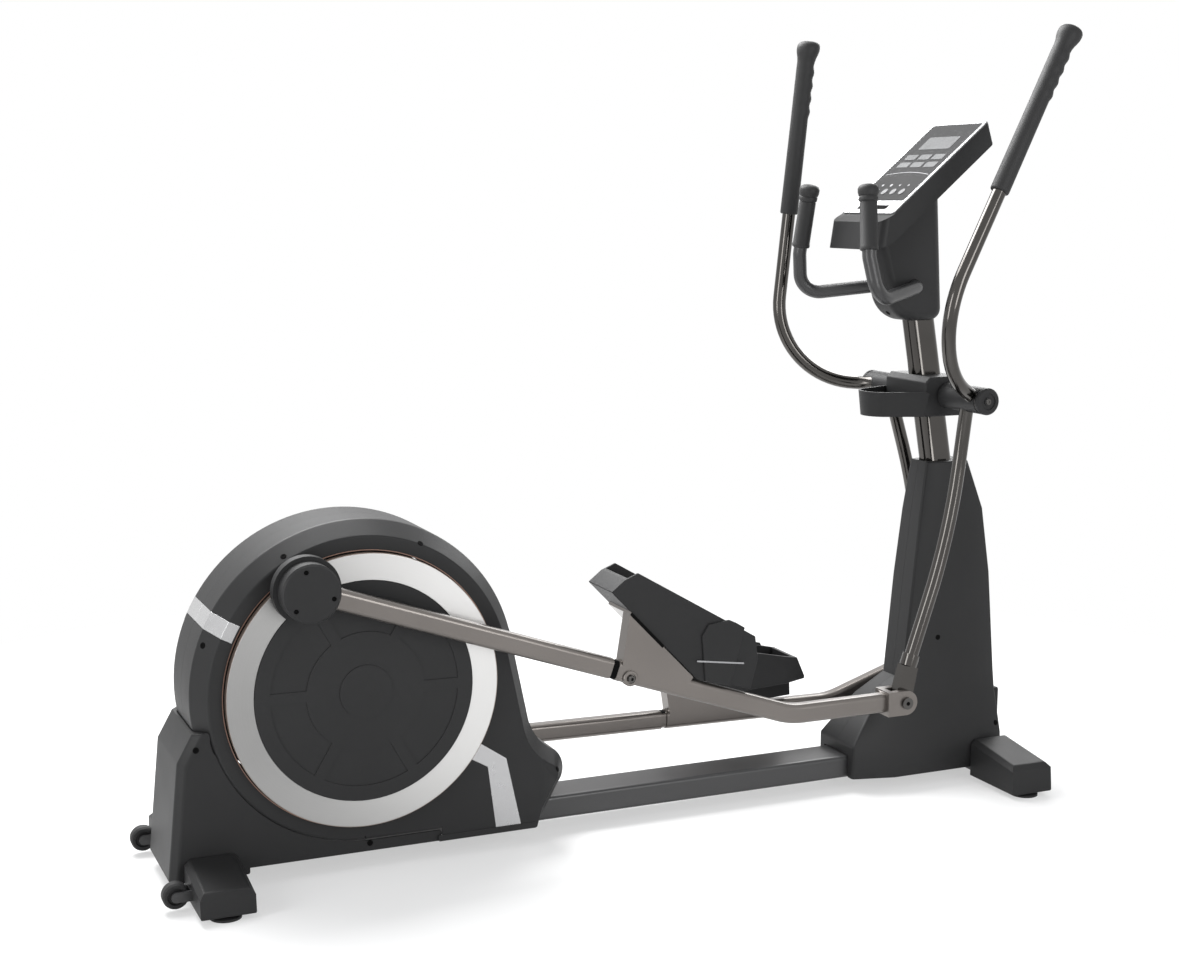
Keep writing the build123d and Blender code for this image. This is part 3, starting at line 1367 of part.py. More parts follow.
def sole(u):
    """Height of the pedal's sloping underside behind the knee."""
    return HEEL_W + (u - HEEL_U) * SOLE_SLOPE


def tread(u):
    """Height of the foot surface."""
    return TREAD_W - (u - TREAD_U) * TREAD_DROP


def rim(u):
    """Height of the side walls' upper edge."""
    return RIM_W + (u - RIM_U) * RIM_SLOPE


def toe_plane(side):
    """Plane along the link seen from above, with y as the world's Y."""
    plane = link_plane(side)
    return Plane(origin=plane.origin, x_dir=plane.x_dir, z_dir=plane.y_dir)


def cut_toe(side, inset):
    """Sketch of the two corners that taper the toe in plan, moved in by inset."""
    with BuildSketch(toe_plane(side).offset(-2 * RIM_W)) as corners:
        for edge, tip, sign in ((PEDAL_IN, TOE_TIP_IN, 1), (PEDAL_OUT, TOE_TIP_OUT, -1)):
            with BuildLine():
                Polyline(
                    (TOE_TAPER_U - inset, side * (edge + sign * inset)),
                    (TOE_TIP_U, side * (tip + sign * inset)),
                    (2 * TOE_TIP_U, side * (tip + sign * inset)),
                    (2 * TOE_TIP_U, side * (edge - sign * RIM_W)),
                    (TOE_TAPER_U - inset, side * (edge - sign * RIM_W)),
                    close=True,
                )
            make_face()
    return corners


def build_pedal(side):
    """Foot tub with high side walls, a tapered toe, a ribbed tread and an open underside."""
    plane = link_plane(side)
    with BuildPart() as well:
        with BuildSketch(at_side(plane, side, PEDAL_IN + PEDAL_WALL)):
            with BuildLine():
                toe_u = TOE_RIM_U - 2 * PEDAL_WALL
                Polyline(
                    (TREAD_U, tread(TREAD_U)),
                    (toe_u, tread(toe_u)),
                    (toe_u, 2 * RIM_W),
                    (TREAD_U, 2 * RIM_W),
                    close=True,
                )
            make_face()
        extrude(amount=-side * (PEDAL_OUT - PEDAL_IN - 2 * PEDAL_WALL))
        extrude(cut_toe(side, PEDAL_WALL).sketch, amount=4 * RIM_W, mode=Mode.SUBTRACT)
    with BuildPart() as pedal:
        with BuildSketch(at_side(plane, side, PEDAL_IN)):
            with BuildLine():
                Polyline(
                    (HEEL_U, HEEL_W),
                    (HEEL_U + HEEL_T * 3 / 4, HEEL_W + HEEL_T),
                    (RIM_U, RIM_W),
                    (TOE_RIM_U, TOE_RIM_W),
                    (TOE_TIP_U, TOE_TIP_W),
                    (TOE_TIP_U, SOLE_KNEE_W),
                    (SOLE_KNEE_U, SOLE_KNEE_W),
                    close=True,
                )
            make_face()
        extrude(amount=-side * (PEDAL_OUT - PEDAL_IN))
        with BuildSketch(at_side(plane, side, PEDAL_OUT)):
            with BuildLine():
                Polyline(
                    (GUARD_U, rim(GUARD_U) - 3 * GUARD_RISE),
                    (GUARD_U + GUARD_STEP / 2, rim(GUARD_U) - 3 / 2 * GUARD_RISE),
                    (GUARD_U + 3 * GUARD_STEP, rim(GUARD_U + 3 * GUARD_STEP) + GUARD_RISE / 4),
                    (GUARD_U + 4 * GUARD_STEP, rim(GUARD_U + 4 * GUARD_STEP) + GUARD_RISE / 3),
                    (TOE_RIM_U, TOE_RIM_W + GUARD_T),
                    (TOE_TIP_U, TOE_TIP_W),
                    (TOE_TIP_U, SOLE_KNEE_W + GUARD_RISE),
                    (TOE_TIP_U - GUARD_RISE, SOLE_KNEE_W),
                    (SOLE_KNEE_U + GUARD_RISE, SOLE_KNEE_W),
                    close=True,
                )
            make_face()
        extrude(amount=-side * GUARD_T)
        extrude(cut_toe(side, 0).sketch, amount=4 * RIM_W, mode=Mode.SUBTRACT)
        add(well.part, mode=Mode.SUBTRACT)
        rib_gap = (TOE_TAPER_U - TREAD_U) / (TREAD_RIBS + 1)
        with BuildSketch(at_side(plane, side, PEDAL_IN + PEDAL_WALL)):
            for rib in range(TREAD_RIBS):
                rib_u = TREAD_U + (rib + 1) * rib_gap
                with BuildLine():
                    Polyline(
                        (rib_u - 5, tread(rib_u - 5) - 1),
                        (rib_u + 5, tread(rib_u + 5) - 1),
                        (rib_u, tread(rib_u) + 3),
                        close=True,
                    )
                make_face()
        extrude(amount=-side * (PEDAL_OUT - PEDAL_IN - 2 * PEDAL_WALL))
        with BuildSketch(at_side(plane, side, PEDAL_IN)):
            with Locations((TOE_SOLE_U + TOE_TIP_U / 2, TOE_SOLE_W - RIM_W / 2)):
                Rectangle(TOE_TIP_U, RIM_W)
        extrude(amount=-side * (FLANK_IN - PEDAL_IN), mode=Mode.SUBTRACT)
        bays = (
            (PEDAL_IN + PEDAL_WALL, FLANK_IN - PEDAL_WALL, TOE_SOLE_U, TOE_SOLE_W),
            (FLANK_IN + PEDAL_WALL, PEDAL_OUT - PEDAL_WALL, SOLE_KNEE_U, SOLE_KNEE_W),
        )
        for bay_in, bay_out, knee_u, knee_w in bays:
            with BuildSketch(at_side(plane, side, bay_in)):
                with BuildLine():
                    rear_u = HEEL_U + 4 * HEEL_T
                    front_u = TOE_TAPER_U
                    Polyline(
                        (rear_u, tread(rear_u) - PEDAL_WALL),
                        (front_u, tread(front_u) - PEDAL_WALL),
                        (front_u, 2 * SOLE_KNEE_W),
                        (knee_u, 2 * SOLE_KNEE_W),
                        (knee_u, knee_w + PEDAL_SKIN),
                        (rear_u, sole(rear_u) + PEDAL_SKIN),
                        close=True,
                    )
                make_face()
            extrude(amount=-side * (bay_out - bay_in), mode=Mode.SUBTRACT)
    return pedal


# Pedal brackets: shelf under the sole on two gussets and a rear web
def build_pedal_bracket(side):
    """Welded bracket that carries one pedal on the front link tube."""
    plane = link_plane(side)
    tube_in = LINK_Y - TUBE_W / 2
    foot_u = SOLE_KNEE_U - 2 * GUSSET_T
    with BuildPart() as bracket:
        with BuildSketch(at_side(plane, side, SHELF_IN)):
            with BuildLine():
                Polyline(
                    (GUSSET_U, sole(GUSSET_U)),
                    (TOE_SOLE_U, sole(TOE_SOLE_U)),
                    (TOE_SOLE_U, sole(TOE_SOLE_U) - GUSSET_T),
                    (GUSSET_U, sole(GUSSET_U) - GUSSET_T),
                    close=True,
                )
            make_face()
        extrude(amount=-side * (LINK_Y + TUBE_W / 2 - SHELF_IN))
        for plate_in in (tube_in, LINK_Y + TUBE_W / 2 - GUSSET_T):
            with BuildSketch(at_side(plane, side, plate_in)):
                with BuildLine():
                    Polyline(
                        (GUSSET_U + 2 * GUSSET_T, tube_top(GUSSET_U + 2 * GUSSET_T) - TUBE_R),
                        (foot_u - GUSSET_T, tube_top(foot_u - GUSSET_T) - TUBE_R),
                        (foot_u, sole(foot_u) - GUSSET_T / 2),
                        (GUSSET_U, sole(GUSSET_U) - GUSSET_T / 2),
                        close=True,
                    )
                make_face()
            extrude(amount=-side * GUSSET_T)
        with BuildSketch(at_side(plane, side, tube_in)):
            with BuildLine():
                Polyline(
                    (GUSSET_U + 2 * GUSSET_T, tube_top(GUSSET_U + 2 * GUSSET_T) - TUBE_R),
                    (GUSSET_U + 3 * GUSSET_T, tube_top(GUSSET_U + 3 * GUSSET_T) - TUBE_R),
                    (GUSSET_U + GUSSET_T, sole(GUSSET_U + GUSSET_T) - GUSSET_T / 2),
                    (GUSSET_U, sole(GUSSET_U) - GUSSET_T / 2),
                    close=True,
                )
            make_face()
        extrude(amount=-side * TUBE_W)
        with BuildSketch(tube_section(side)):
            RectangleRounded(TUBE_W + 2 * RUN_FIT, TUBE_H + 2 * RUN_FIT, TUBE_R + RUN_FIT)
        extrude(amount=BEND_U, mode=Mode.SUBTRACT)
    return bracket


# All pieces of the two moving sides
for link_side in (RIGHT, LEFT):
    side_name = SIDE_NAMES[link_side]
    save(build_swing_arm(link_side), f"{side_name}_swing_arm")
    save(build_swing_grip(link_side), f"{side_name}_swing_grip")
    save(build_pivot_cap(link_side), f"{side_name}_pivot_cap")
    save(build_link_rear(link_side), f"{side_name}_link_rear")
    save(build_hub_cover(link_side), f"{side_name}_hub_cover")
    save(build_link_front(link_side), f"{side_name}_link_front")
    save(build_link_pin(link_side), f"{side_name}_link_pin")
    save(build_pedal(link_side), f"{side_name}_pedal")
    save(build_pedal_bracket(link_side), f"{side_name}_pedal_bracket")

# Console: sloped housing with a lip towards the user
TILT = radians(SCREEN_TILT)
SCREEN_TOP_X = SCREEN_LOW_X + SCREEN_L * cos(TILT)
SCREEN_TOP_Z = SCREEN_LOW_Z + SCREEN_L * sin(TILT)
BACK_TOP_X = SCREEN_TOP_X + CONSOLE_T * sin(TILT) / 2
BACK_TOP_Z = SCREEN_TOP_Z - CONSOLE_T
BACK_LOW_X = LIP_X + LIP_L
BACK_SLOPE = (BACK_TOP_Z - LIP_Z - LIP_RISE) / (BACK_TOP_X - BACK_LOW_X)


def console_back(x):
    """Height of the console's sloping underside."""
    return LIP_Z + LIP_RISE + (x - BACK_LOW_X) * BACK_SLOPE


def screen_plane(u, height):
    """Plane on the screen face, u up the slope from its lower edge, at a height above it."""
    base = Plane(
        origin=(SCREEN_LOW_X + u * cos(TILT), 0, SCREEN_LOW_Z + u * sin(TILT)),
        x_dir=(0, -1, 0),
        z_dir=(-sin(TILT), 0, cos(TILT)),
    )
    return base.offset(height)


SCREEN_W = 2 * CONSOLE_HALF - 2 * CONSOLE_CORNER_R / 8
KEY_SPOTS = (("start", -1.5), ("stop", -0.5), ("down", 0.5), ("up", 1.5))

with BuildPart() as console_housing:
    with BuildSketch(Plane.XZ.offset(-CONSOLE_HALF)):
        with BuildLine():
            Polyline(
                (LIP_X, LIP_Z),
                (BACK_LOW_X, console_back(BACK_LOW_X)),
                (BACK_TOP_X, BACK_TOP_Z),
                (SCREEN_TOP_X, SCREEN_TOP_Z),
                (SCREEN_LOW_X, SCREEN_LOW_Z),
                (LIP_X + LIP_TOP_DX, LIP_TOP_Z),
                close=True,
            )
        make_face()
    extrude(amount=2 * CONSOLE_HALF)
    lip_corners = console_housing.edges().filter_by(lambda edge: edge.center().X < LIP_X + LIP_TOP_DX)
    fillet(lip_corners.filter_by(lambda edge: abs(edge.center().Y) > CONSOLE_HALF / 2), CONSOLE_CORNER_R)
    top_corners = console_housing.edges().filter_by(lambda edge: edge.center().X > SCREEN_TOP_X)
    fillet(top_corners.filter_by(lambda edge: abs(edge.center().Y) > CONSOLE_HALF / 2), CONSOLE_CORNER_R / 2)
    for _, place in KEY_SPOTS:
        with BuildSketch(screen_plane(KEY_V, 0)):
            with Locations((place * KEY_PITCH, 0)):
                Circle(KEY_R + SLIDE_GAP)
        extrude(amount=-KEY_SINK, mode=Mode.SUBTRACT)
save(console_housing, "console_housing")

# Console trim: bright frame round the panel with the reading ledge slot
with BuildPart() as console_trim:
    with BuildSketch(screen_plane(SCREEN_L / 2, 0)):
        RectangleRounded(SCREEN_W, SCREEN_L - TRIM_W / 2, CONSOLE_CORNER_R / 2)
        with Locations((0, (LEDGE_L - TRIM_W) / 2)):
            RectangleRounded(
                SCREEN_W - 2 * TRIM_W, SCREEN_L - LEDGE_L - TRIM_W, CONSOLE_CORNER_R / 3, mode=Mode.SUBTRACT
            )
        with Locations((0, (LEDGE_L - SCREEN_L) / 2)):
            RectangleRounded(LEDGE_SLOT_W, LEDGE_SLOT_H, LEDGE_SLOT_H / 3, mode=Mode.SUBTRACT)
    extrude(amount=TRIM_T)
save(console_trim, "console_trim")

# Console panel with the key holes
with BuildPart() as console_panel:
    with BuildSketch(screen_plane(SCREEN_L / 2, 0)):
        with Locations((0, (LEDGE_L - TRIM_W) / 2)):
            RectangleRounded(
                SCREEN_W - 2 * TRIM_W - 2 * SEAT_GAP,
                SCREEN_L - LEDGE_L - TRIM_W - 2 * SEAT_GAP,
                CONSOLE_CORNER_R / 3,
            )
        for _, place in KEY_SPOTS:
            with Locations((place * KEY_PITCH, KEY_V - SCREEN_L / 2)):
                Circle(KEY_R + SLIDE_GAP, mode=Mode.SUBTRACT)
    extrude(amount=PANEL_T)
save(console_panel, "console_panel")

# Console keys
for key_name, place in KEY_SPOTS:
    with BuildPart() as key:
        with BuildSketch(screen_plane(KEY_V, PANEL_T + KEY_SINK / 2 - KEY_T + KEY_SINK / 2)):
            with Locations((place * KEY_PITCH, 0)):
                Circle(KEY_R)
        extrude(amount=KEY_T - KEY_SINK / 2)
    save(key, f"{key_name}_key")

# Path of the fixed handlebar: up from each grip, in to the post and across
with BuildLine() as bar_path:
    FilletPolyline(
        (BAR_END_X, -BAR_END_Y, BAR_END_Z),
        (BAR_END_X + BAR_KNEE_DX, -BAR_END_Y - BAR_KNEE_DY, BAR_KNEE_Z),
        (BAR_LOW_X, -BAR_END_Y - BAR_LOW_DY, BAR_LOW_Z),
        (BAR_X, -POST_HALF - BAR_R, BAR_Z),
        (BAR_X, POST_HALF + BAR_R, BAR_Z),
        (BAR_LOW_X, BAR_END_Y + BAR_LOW_DY, BAR_LOW_Z),
        (BAR_END_X + BAR_KNEE_DX, BAR_END_Y + BAR_KNEE_DY, BAR_KNEE_Z),
        (BAR_END_X, BAR_END_Y, BAR_END_Z),
        radius=BAR_BEND_R,
    )
bar_wire = bar_path.wire()
BAR_START = Plane(origin=bar_wire @ 0, z_dir=bar_wire % 0)

# Console post with a rounded nose, over the top of the mast
with BuildPart() as console_post:
    with BuildSketch(Plane.XZ.offset(-POST_HALF)) as post_side:
        with BuildLine():
            Polyline(
                (POST_REAR_X + POST_HEEL_DX, POST_BOTTOM),
                (POST_FRONT_X, POST_BOTTOM),
                (POST_FRONT_X - POST_SET, console_back(POST_FRONT_X - POST_SET)),
                (POST_REAR_X, console_back(POST_REAR_X)),
                close=True,
            )
        make_face()
        fillet(post_side.vertices().sort_by(Axis.Y)[:2].sort_by(Axis.X)[0], POST_NOSE_R)
    extrude(amount=2 * POST_HALF)
    sides = console_post.edges().filter_by(lambda edge: abs(edge.center().Y) > POST_HALF / 2)
    fillet(sides.filter_by(lambda edge: edge.center().X < POST_REAR_X + POST_HEEL_DX), POST_EDGE_R)
    sides = console_post.edges().filter_by(lambda edge: abs(edge.center().Y) > POST_HALF / 2)
    fillet(sides.filter_by(lambda edge: edge.center().X > POST_FRONT_X - POST_SET), POST_CORNER_R)
    with BuildSketch(mast_plane(BEAM_TOP)):
        SlotOverall(MAST_D + 2 * SEAT_GAP, MAST_W + 2 * SEAT_GAP)
    extrude(amount=(MAST_TOP + SEAT_GAP - BEAM_TOP) / cos(LEAN), mode=Mode.SUBTRACT)
    with BuildSketch(BAR_START):
        Circle(BAR_R + SEAT_GAP)
    sweep(path=bar_wire, mode=Mode.SUBTRACT)
save(console_post, "console_post")

# Fixed handlebar: one bent tube through the post
with BuildPart() as static_handlebar:
    with BuildSketch(BAR_START):
        Circle(BAR_R)
    sweep(path=bar_wire)
save(static_handlebar, "static_handlebar")

# Grips and end caps of the fixed handlebar
with BuildPart() as static_grips:
    grip_top = Vector(BAR_END_X, BAR_END_Y, BAR_END_Z)
    grip_knee = Vector(BAR_END_X + BAR_KNEE_DX, BAR_END_Y + BAR_KNEE_DY, BAR_KNEE_Z)
    grip_dir = (grip_top - grip_knee).normalized()
    grip_low = grip_top - grip_dir * (BAR_GRIP_L - BAR_CAP_T)
    with BuildSketch(Plane(origin=grip_low, x_dir=grip_dir, z_dir=grip_dir.cross(Vector(1, 0, 0)))):
        with BuildLine():
            Polyline(
                (BAR_GRIP_L, BAR_CAP_T / 2),
                (BAR_GRIP_L, 0),
                (0, 0),
                (0, BAR_GRIP_R),
                (BAR_GRIP_L - 2 * BAR_CAP_T, BAR_GRIP_R),
            )
            Polyline(
                (BAR_GRIP_L - 2 * BAR_CAP_T, BAR_GRIP_R),
                (BAR_GRIP_L - BAR_CAP_T * 3 / 2, BAR_GRIP_R + 2),
                (BAR_GRIP_L - BAR_CAP_T / 2, BAR_GRIP_R),
                (BAR_GRIP_L, BAR_CAP_T / 2),
            )
        make_face()
    revolve(axis=Axis(grip_low, grip_dir))
    with BuildSketch(Plane(origin=grip_low, z_dir=grip_dir)):
        Circle(BAR_R + RUN_FIT)
    extrude(amount=BAR_GRIP_L - BAR_CAP_T + SEAT_GAP, mode=Mode.SUBTRACT)
    mirror(about=Plane.XZ)
save(static_grips, "static_grips")
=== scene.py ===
"""Looks of a rear-drive elliptical trainer: finishes, rounded edges and small fittings on its CAD frame."""

import json
import logging
import math
from collections.abc import Iterable, Iterator
from contextlib import contextmanager
from dataclasses import dataclass
from enum import Enum

import bmesh
import bpy
import numpy
from mathutils import Matrix, Vector
from mathutils.bvhtree import BVHTree

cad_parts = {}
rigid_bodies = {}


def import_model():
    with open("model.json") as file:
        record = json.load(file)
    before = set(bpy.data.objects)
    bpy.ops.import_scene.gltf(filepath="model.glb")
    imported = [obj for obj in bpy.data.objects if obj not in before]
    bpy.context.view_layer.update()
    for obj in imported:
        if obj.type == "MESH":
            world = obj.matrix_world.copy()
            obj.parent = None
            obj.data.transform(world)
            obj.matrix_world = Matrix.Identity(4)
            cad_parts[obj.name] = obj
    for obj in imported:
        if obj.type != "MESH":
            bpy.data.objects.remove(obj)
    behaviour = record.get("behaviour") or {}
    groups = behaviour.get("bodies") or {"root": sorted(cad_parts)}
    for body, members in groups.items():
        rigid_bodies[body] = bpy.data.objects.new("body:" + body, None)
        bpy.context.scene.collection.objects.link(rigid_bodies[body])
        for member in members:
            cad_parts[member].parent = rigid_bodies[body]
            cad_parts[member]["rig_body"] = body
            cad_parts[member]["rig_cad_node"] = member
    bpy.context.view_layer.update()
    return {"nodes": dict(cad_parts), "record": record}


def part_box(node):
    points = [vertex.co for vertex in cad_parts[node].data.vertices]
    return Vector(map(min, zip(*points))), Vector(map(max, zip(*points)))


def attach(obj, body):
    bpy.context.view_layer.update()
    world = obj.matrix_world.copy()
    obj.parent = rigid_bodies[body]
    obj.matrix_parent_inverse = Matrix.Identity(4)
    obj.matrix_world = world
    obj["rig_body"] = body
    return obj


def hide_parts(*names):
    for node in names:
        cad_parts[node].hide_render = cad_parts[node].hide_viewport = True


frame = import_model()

LOG = logging.getLogger("trainer")

Pair = tuple[float, float]
Point = tuple[float, float, float]
Colour = tuple[float, float, float]

WHITE = (1.0, 1.0, 1.0, 1.0)
MERGE_DISTANCE = 0.000005
LOOKS_UP = 0.9


class Side(Enum):
    """The two sides of the machine, by the sign of Y."""

    RIGHT = -1
    LEFT = 1

    @property
    def word(self) -> str:
        """Prefix of the side's node names."""
        return self.name.lower()

    @property
    def outwards(self) -> Vector:
        """Direction away from the machine."""
        return Vector((0.0, self.value, 0.0))


class Slot(Enum):
    """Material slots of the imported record."""

    FRAME = "frame_paint"
    LINK = "link_paint"
    CHROME = "black_chrome"
    STEEL = "steel"
    CAST = "cast"
    COVER = "charcoal_plastic"
    PEDAL = "pedal_plastic"
    CONSOLE = "console_plastic"
    TRIM = "silver_trim"
    RUBBER = "rubber"
    GRIP = "grip_foam"
    PANEL = "panel_gloss"
    KEY = "key_plastic"


# Shader building


class Value:
    """A shader output that takes part in Python expressions; every operator adds one Math node."""

    def __init__(self, nodes: "Nodes", socket: bpy.types.NodeSocket) -> None:
        """Wrap an output socket of a node tree."""
        self.nodes = nodes
        self.socket = socket

    def math(self, operation: str, *others: "Value | float", swap: bool = False) -> "Value":
        """Add one Math node.

        Args:
            operation: Blender's name of the operation.
            others: The other operands.
            swap: True when this value comes second.

        Returns:
            The node's result.
        """
        operands: list[Value | float] = [self, *others]
        if swap:
            operands.reverse()
        return self.nodes.node("ShaderNodeMath", {"operation": operation}, dict(enumerate(operands)))

    def __add__(self, other: "Value | float") -> "Value":
        """Sum."""
        return self.math("ADD", other)

    def __radd__(self, other: float) -> "Value":
        """Reflected sum."""
        return self.math("ADD", other, swap=True)

    def __sub__(self, other: "Value | float") -> "Value":
        """Difference."""
        return self.math("SUBTRACT", other)

    def __rsub__(self, other: float) -> "Value":
        """Reflected difference."""
        return self.math("SUBTRACT", other, swap=True)

    def __mul__(self, other: "Value | float") -> "Value":
        """Product."""
        return self.math("MULTIPLY", other)

    def __rmul__(self, other: float) -> "Value":
        """Reflected product."""
        return self.math("MULTIPLY", other, swap=True)

    def __pow__(self, other: "Value | float") -> "Value":
        """Power."""
        return self.math("POWER", other)

    def __rpow__(self, other: float) -> "Value":
        """Reflected power."""
        return self.math("POWER", other, swap=True)

    def sin(self) -> "Value":
        """Sine."""
        return self.math("SINE")

    def centred(self) -> "Value":
        """The value less one half, so that noise spreads both ways."""
        return self - 0.5

    def clamp(self) -> "Value":
        """The value held between 0 and 1."""
        return self.nodes.node("ShaderNodeClamp", {}, {0: self})


class Nodes:
    """The node tree of a material or of the surroundings."""

    def __init__(self, tree: bpy.types.NodeTree, output: str) -> None:
        """Empty a tree and give it an output node.

        Args:
            tree: The node tree.
            output: Blender's type of the output node.
        """
        self.tree = tree
        self.tree.nodes.clear()
        self.output = self.tree.nodes.new(output)

    def node(
        self,
        kind: str,
        settings: dict[str, object],
        inputs: dict[str | int, object],
        output: str | int = 0,
    ) -> Value:
        """Add any node.

        Args:
            kind: Blender's node type.
            settings: Properties that are set first.
            inputs: Values or links of the input sockets, by name or number.
            output: The output socket to return, by name or number.

        Returns:
            That output.
        """
        made = self.tree.nodes.new(kind)
        for key, value in settings.items():
            setattr(made, key, value)
        for key, value in inputs.items():
            self.plug(made.inputs[key], value)
        return Value(self, made.outputs[output])

    def plug(self, socket: bpy.types.NodeSocket, value: object) -> None:
        """Link a value to an input socket, or set a plain number or colour on it.

        Args:
            socket: The input socket.
            value: A value of this tree, a number or a colour.
        """
        if isinstance(value, Value):
            self.tree.links.new(value.socket, socket)
        else:
            socket.default_value = value

    def show(self, surface: Value) -> None:
        """Link a shader to the tree's output."""
        self.plug(self.output.inputs["Surface"], surface)

    def seen(self) -> Value:
        """Tell which rays see the surface directly.

        Returns:
            1 for rays from the camera and for those that mirrors and glass send on.
        """
        kind = "ShaderNodeLightPath"
        camera = self.node(kind, {}, {}, "Is Camera Ray")
        glossy = self.node(kind, {}, {}, "Is Glossy Ray")
        passed = self.node(kind, {}, {}, "Is Transmission Ray")
        return (camera + glossy + passed).clamp()


class Shader(Nodes):
    """One material, built round a Principled shader."""

    def __init__(self, name: str) -> None:
        """Start an empty material.

        Args:
            name: Its name.
        """
        self.material = bpy.data.materials.new(name)
        self.material.use_nodes = True
        super().__init__(self.material.node_tree, "ShaderNodeOutputMaterial")
        self.surface = self.tree.nodes.new("ShaderNodeBsdfPrincipled")
        self.lit = Value(self, self.surface.outputs[0])
        self.show(self.lit)

    def place(self) -> Value:
        """Object coordinates, which are the machine's own frame in metres."""
        return self.node("ShaderNodeTexCoord", {}, {}, "Object")

    def noise(self, scale: float, detail: float = 3.0, vector: Value | None = None) -> Value:
        """Noise between 0 and 1.

        Args:
            scale: Features per metre.
            detail: Octaves.
            vector: Coordinates, or None for the object's own.

        Returns:
            The noise value.
        """
        inputs = {"Vector": vector or self.place(), "Scale": scale, "Detail": detail}
        return self.node("ShaderNodeTexNoise", {}, inputs, "Fac")

    def mix(self, factor: Value, first: Colour, second: Colour) -> Value:
        """Colour between two colours."""
        inputs = {0: factor, 6: (*first, 1.0), 7: (*second, 1.0)}
        return self.node("ShaderNodeMix", {"data_type": "RGBA"}, inputs, 2)

    def axes(self, vector: Value) -> tuple[Value, Value, Value]:
        """The three parts of a vector."""
        kind = "ShaderNodeSeparateXYZ"
        return tuple(self.node(kind, {}, {0: vector}, axis) for axis in ("X", "Y", "Z"))

    def bump(self, height: Value, depth: float, strength: float = 1.0) -> None:
        """Feed a height through a Bump node into the normal; depth is in metres."""
        inputs = {"Height": height, "Distance": depth, "Strength": strength}
        self.feed(Normal=self.node("ShaderNodeBump", {}, inputs, "Normal"))

    def feed(self, **sockets: object) -> None:
        """Set or link sockets of the Principled shader; an underscore stands for a space."""
        for key, value in sockets.items():
            self.plug(self.surface.inputs[key.replace("_", " ")], value)


# Finishes


@dataclass(frozen=True)
class Finish:
    """A surface finish: its name, base colour and mean roughness."""

    name: str
    colour: Colour
    roughness: float

    def tint(self, share: float) -> Colour:
        """The base colour made lighter or darker by a share."""
        return tuple(max(0.0, part * (1.0 + share)) for part in self.colour)

    def tones(self, shader: Shader, factor: Value, darker: float, lighter: float) -> Value:
        """Colour that runs from a darker to a lighter tint of the base colour."""
        return shader.mix(factor, self.tint(-darker), self.tint(lighter))

    def dress(self, shader: Shader) -> None:
        """Set up the finish's nodes in a new material."""
        raise NotImplementedError

    def material(self) -> bpy.types.Material:
        """Make the finish's material on first use.

        Returns:
            The material.
        """
        ready = bpy.data.materials.get(self.name)
        if ready is None:
            shader = Shader(self.name)
            self.dress(shader)
            ready = shader.material
        return ready


@dataclass(frozen=True)
class Moulded(Finish):
    """Moulded plastic with a fine spark-eroded grain and a faint mottle."""

    grain: float = 1100.0
    depth: float = 0.00012
    mottle: float = 0.16
    coat: float = 0.0
    shine: float = 0.3
    cloud: float = 9.0
    grain_share: float = 0.35
    cloud_spread: float = 0.12
    grain_spread: float = 0.1

    def dress(self, shader: Shader) -> None:
        """Put the grain in the bump, and the mottle in the colour and the roughness.

        Args:
            shader: The new material.
        """
        fine = shader.noise(self.grain, detail=2.0)
        broad = shader.noise(self.cloud, detail=4.0)
        shade = fine * self.grain_share + broad * (1.0 - self.grain_share)
        spread = broad.centred() * self.cloud_spread + fine.centred() * self.grain_spread
        shader.feed(
            Base_Color=self.tones(shader, shade, self.mottle, self.mottle),
            Roughness=self.roughness + spread,
            Coat_Weight=self.coat,
            Specular_IOR_Level=self.shine,
        )
        shader.bump(fine, self.depth)


@dataclass(frozen=True)
class Painted(Finish):
    """Sprayed metal: orange peel, fine flakes and a clear coat."""

    metallic: float = 0.35
    flake: float = 0.25
    coat: float = 0.3
    coat_roughness: float = 0.18
    flakes: float = 2600.0
    flake_share: float = 0.5
    peel: float = 240.0
    peel_depth: float = 0.00012
    cloud: float = 6.0
    cloud_spread: float = 0.12

    def dress(self, shader: Shader) -> None:
        """Put the flakes in the colour and the orange peel in the bump.

        Args:
            shader: The new material.
        """
        flakes = shader.noise(self.flakes, detail=1.0)
        peel = shader.noise(self.peel, detail=2.0)
        cloud = shader.noise(self.cloud)
        shade = flakes * self.flake_share + cloud * (1.0 - self.flake_share)
        shader.feed(
            Base_Color=self.tones(shader, shade, self.flake, self.flake),
            Roughness=self.roughness + cloud.centred() * self.cloud_spread,
            Metallic=self.metallic,
            Coat_Weight=self.coat,
            Coat_Roughness=self.coat_roughness,
        )
        shader.bump(peel, self.peel_depth, strength=0.6)


@dataclass(frozen=True)
class Polished(Finish):
    """Polished plated metal with faint smears and drawing lines."""

    smear: float = 0.06
    smears: float = 14.0
    tarnish: float = 0.12
    lines: float = 420.0
    line_spread: float = 0.02
    line_depth: float = 0.000004

    def dress(self, shader: Shader) -> None:
        """Put the smears in the roughness and a little cloud in the colour.

        Args:
            shader: The new material.
        """
        smear = shader.noise(self.smears, detail=5.0)
        fine = shader.noise(self.lines, detail=2.0)
        shader.feed(
            Base_Color=self.tones(shader, smear, self.tarnish, self.tarnish),
            Roughness=self.roughness + smear * self.smear + fine * self.line_spread,
            Metallic=1.0,
        )
        shader.bump(fine, self.line_depth, strength=0.5)


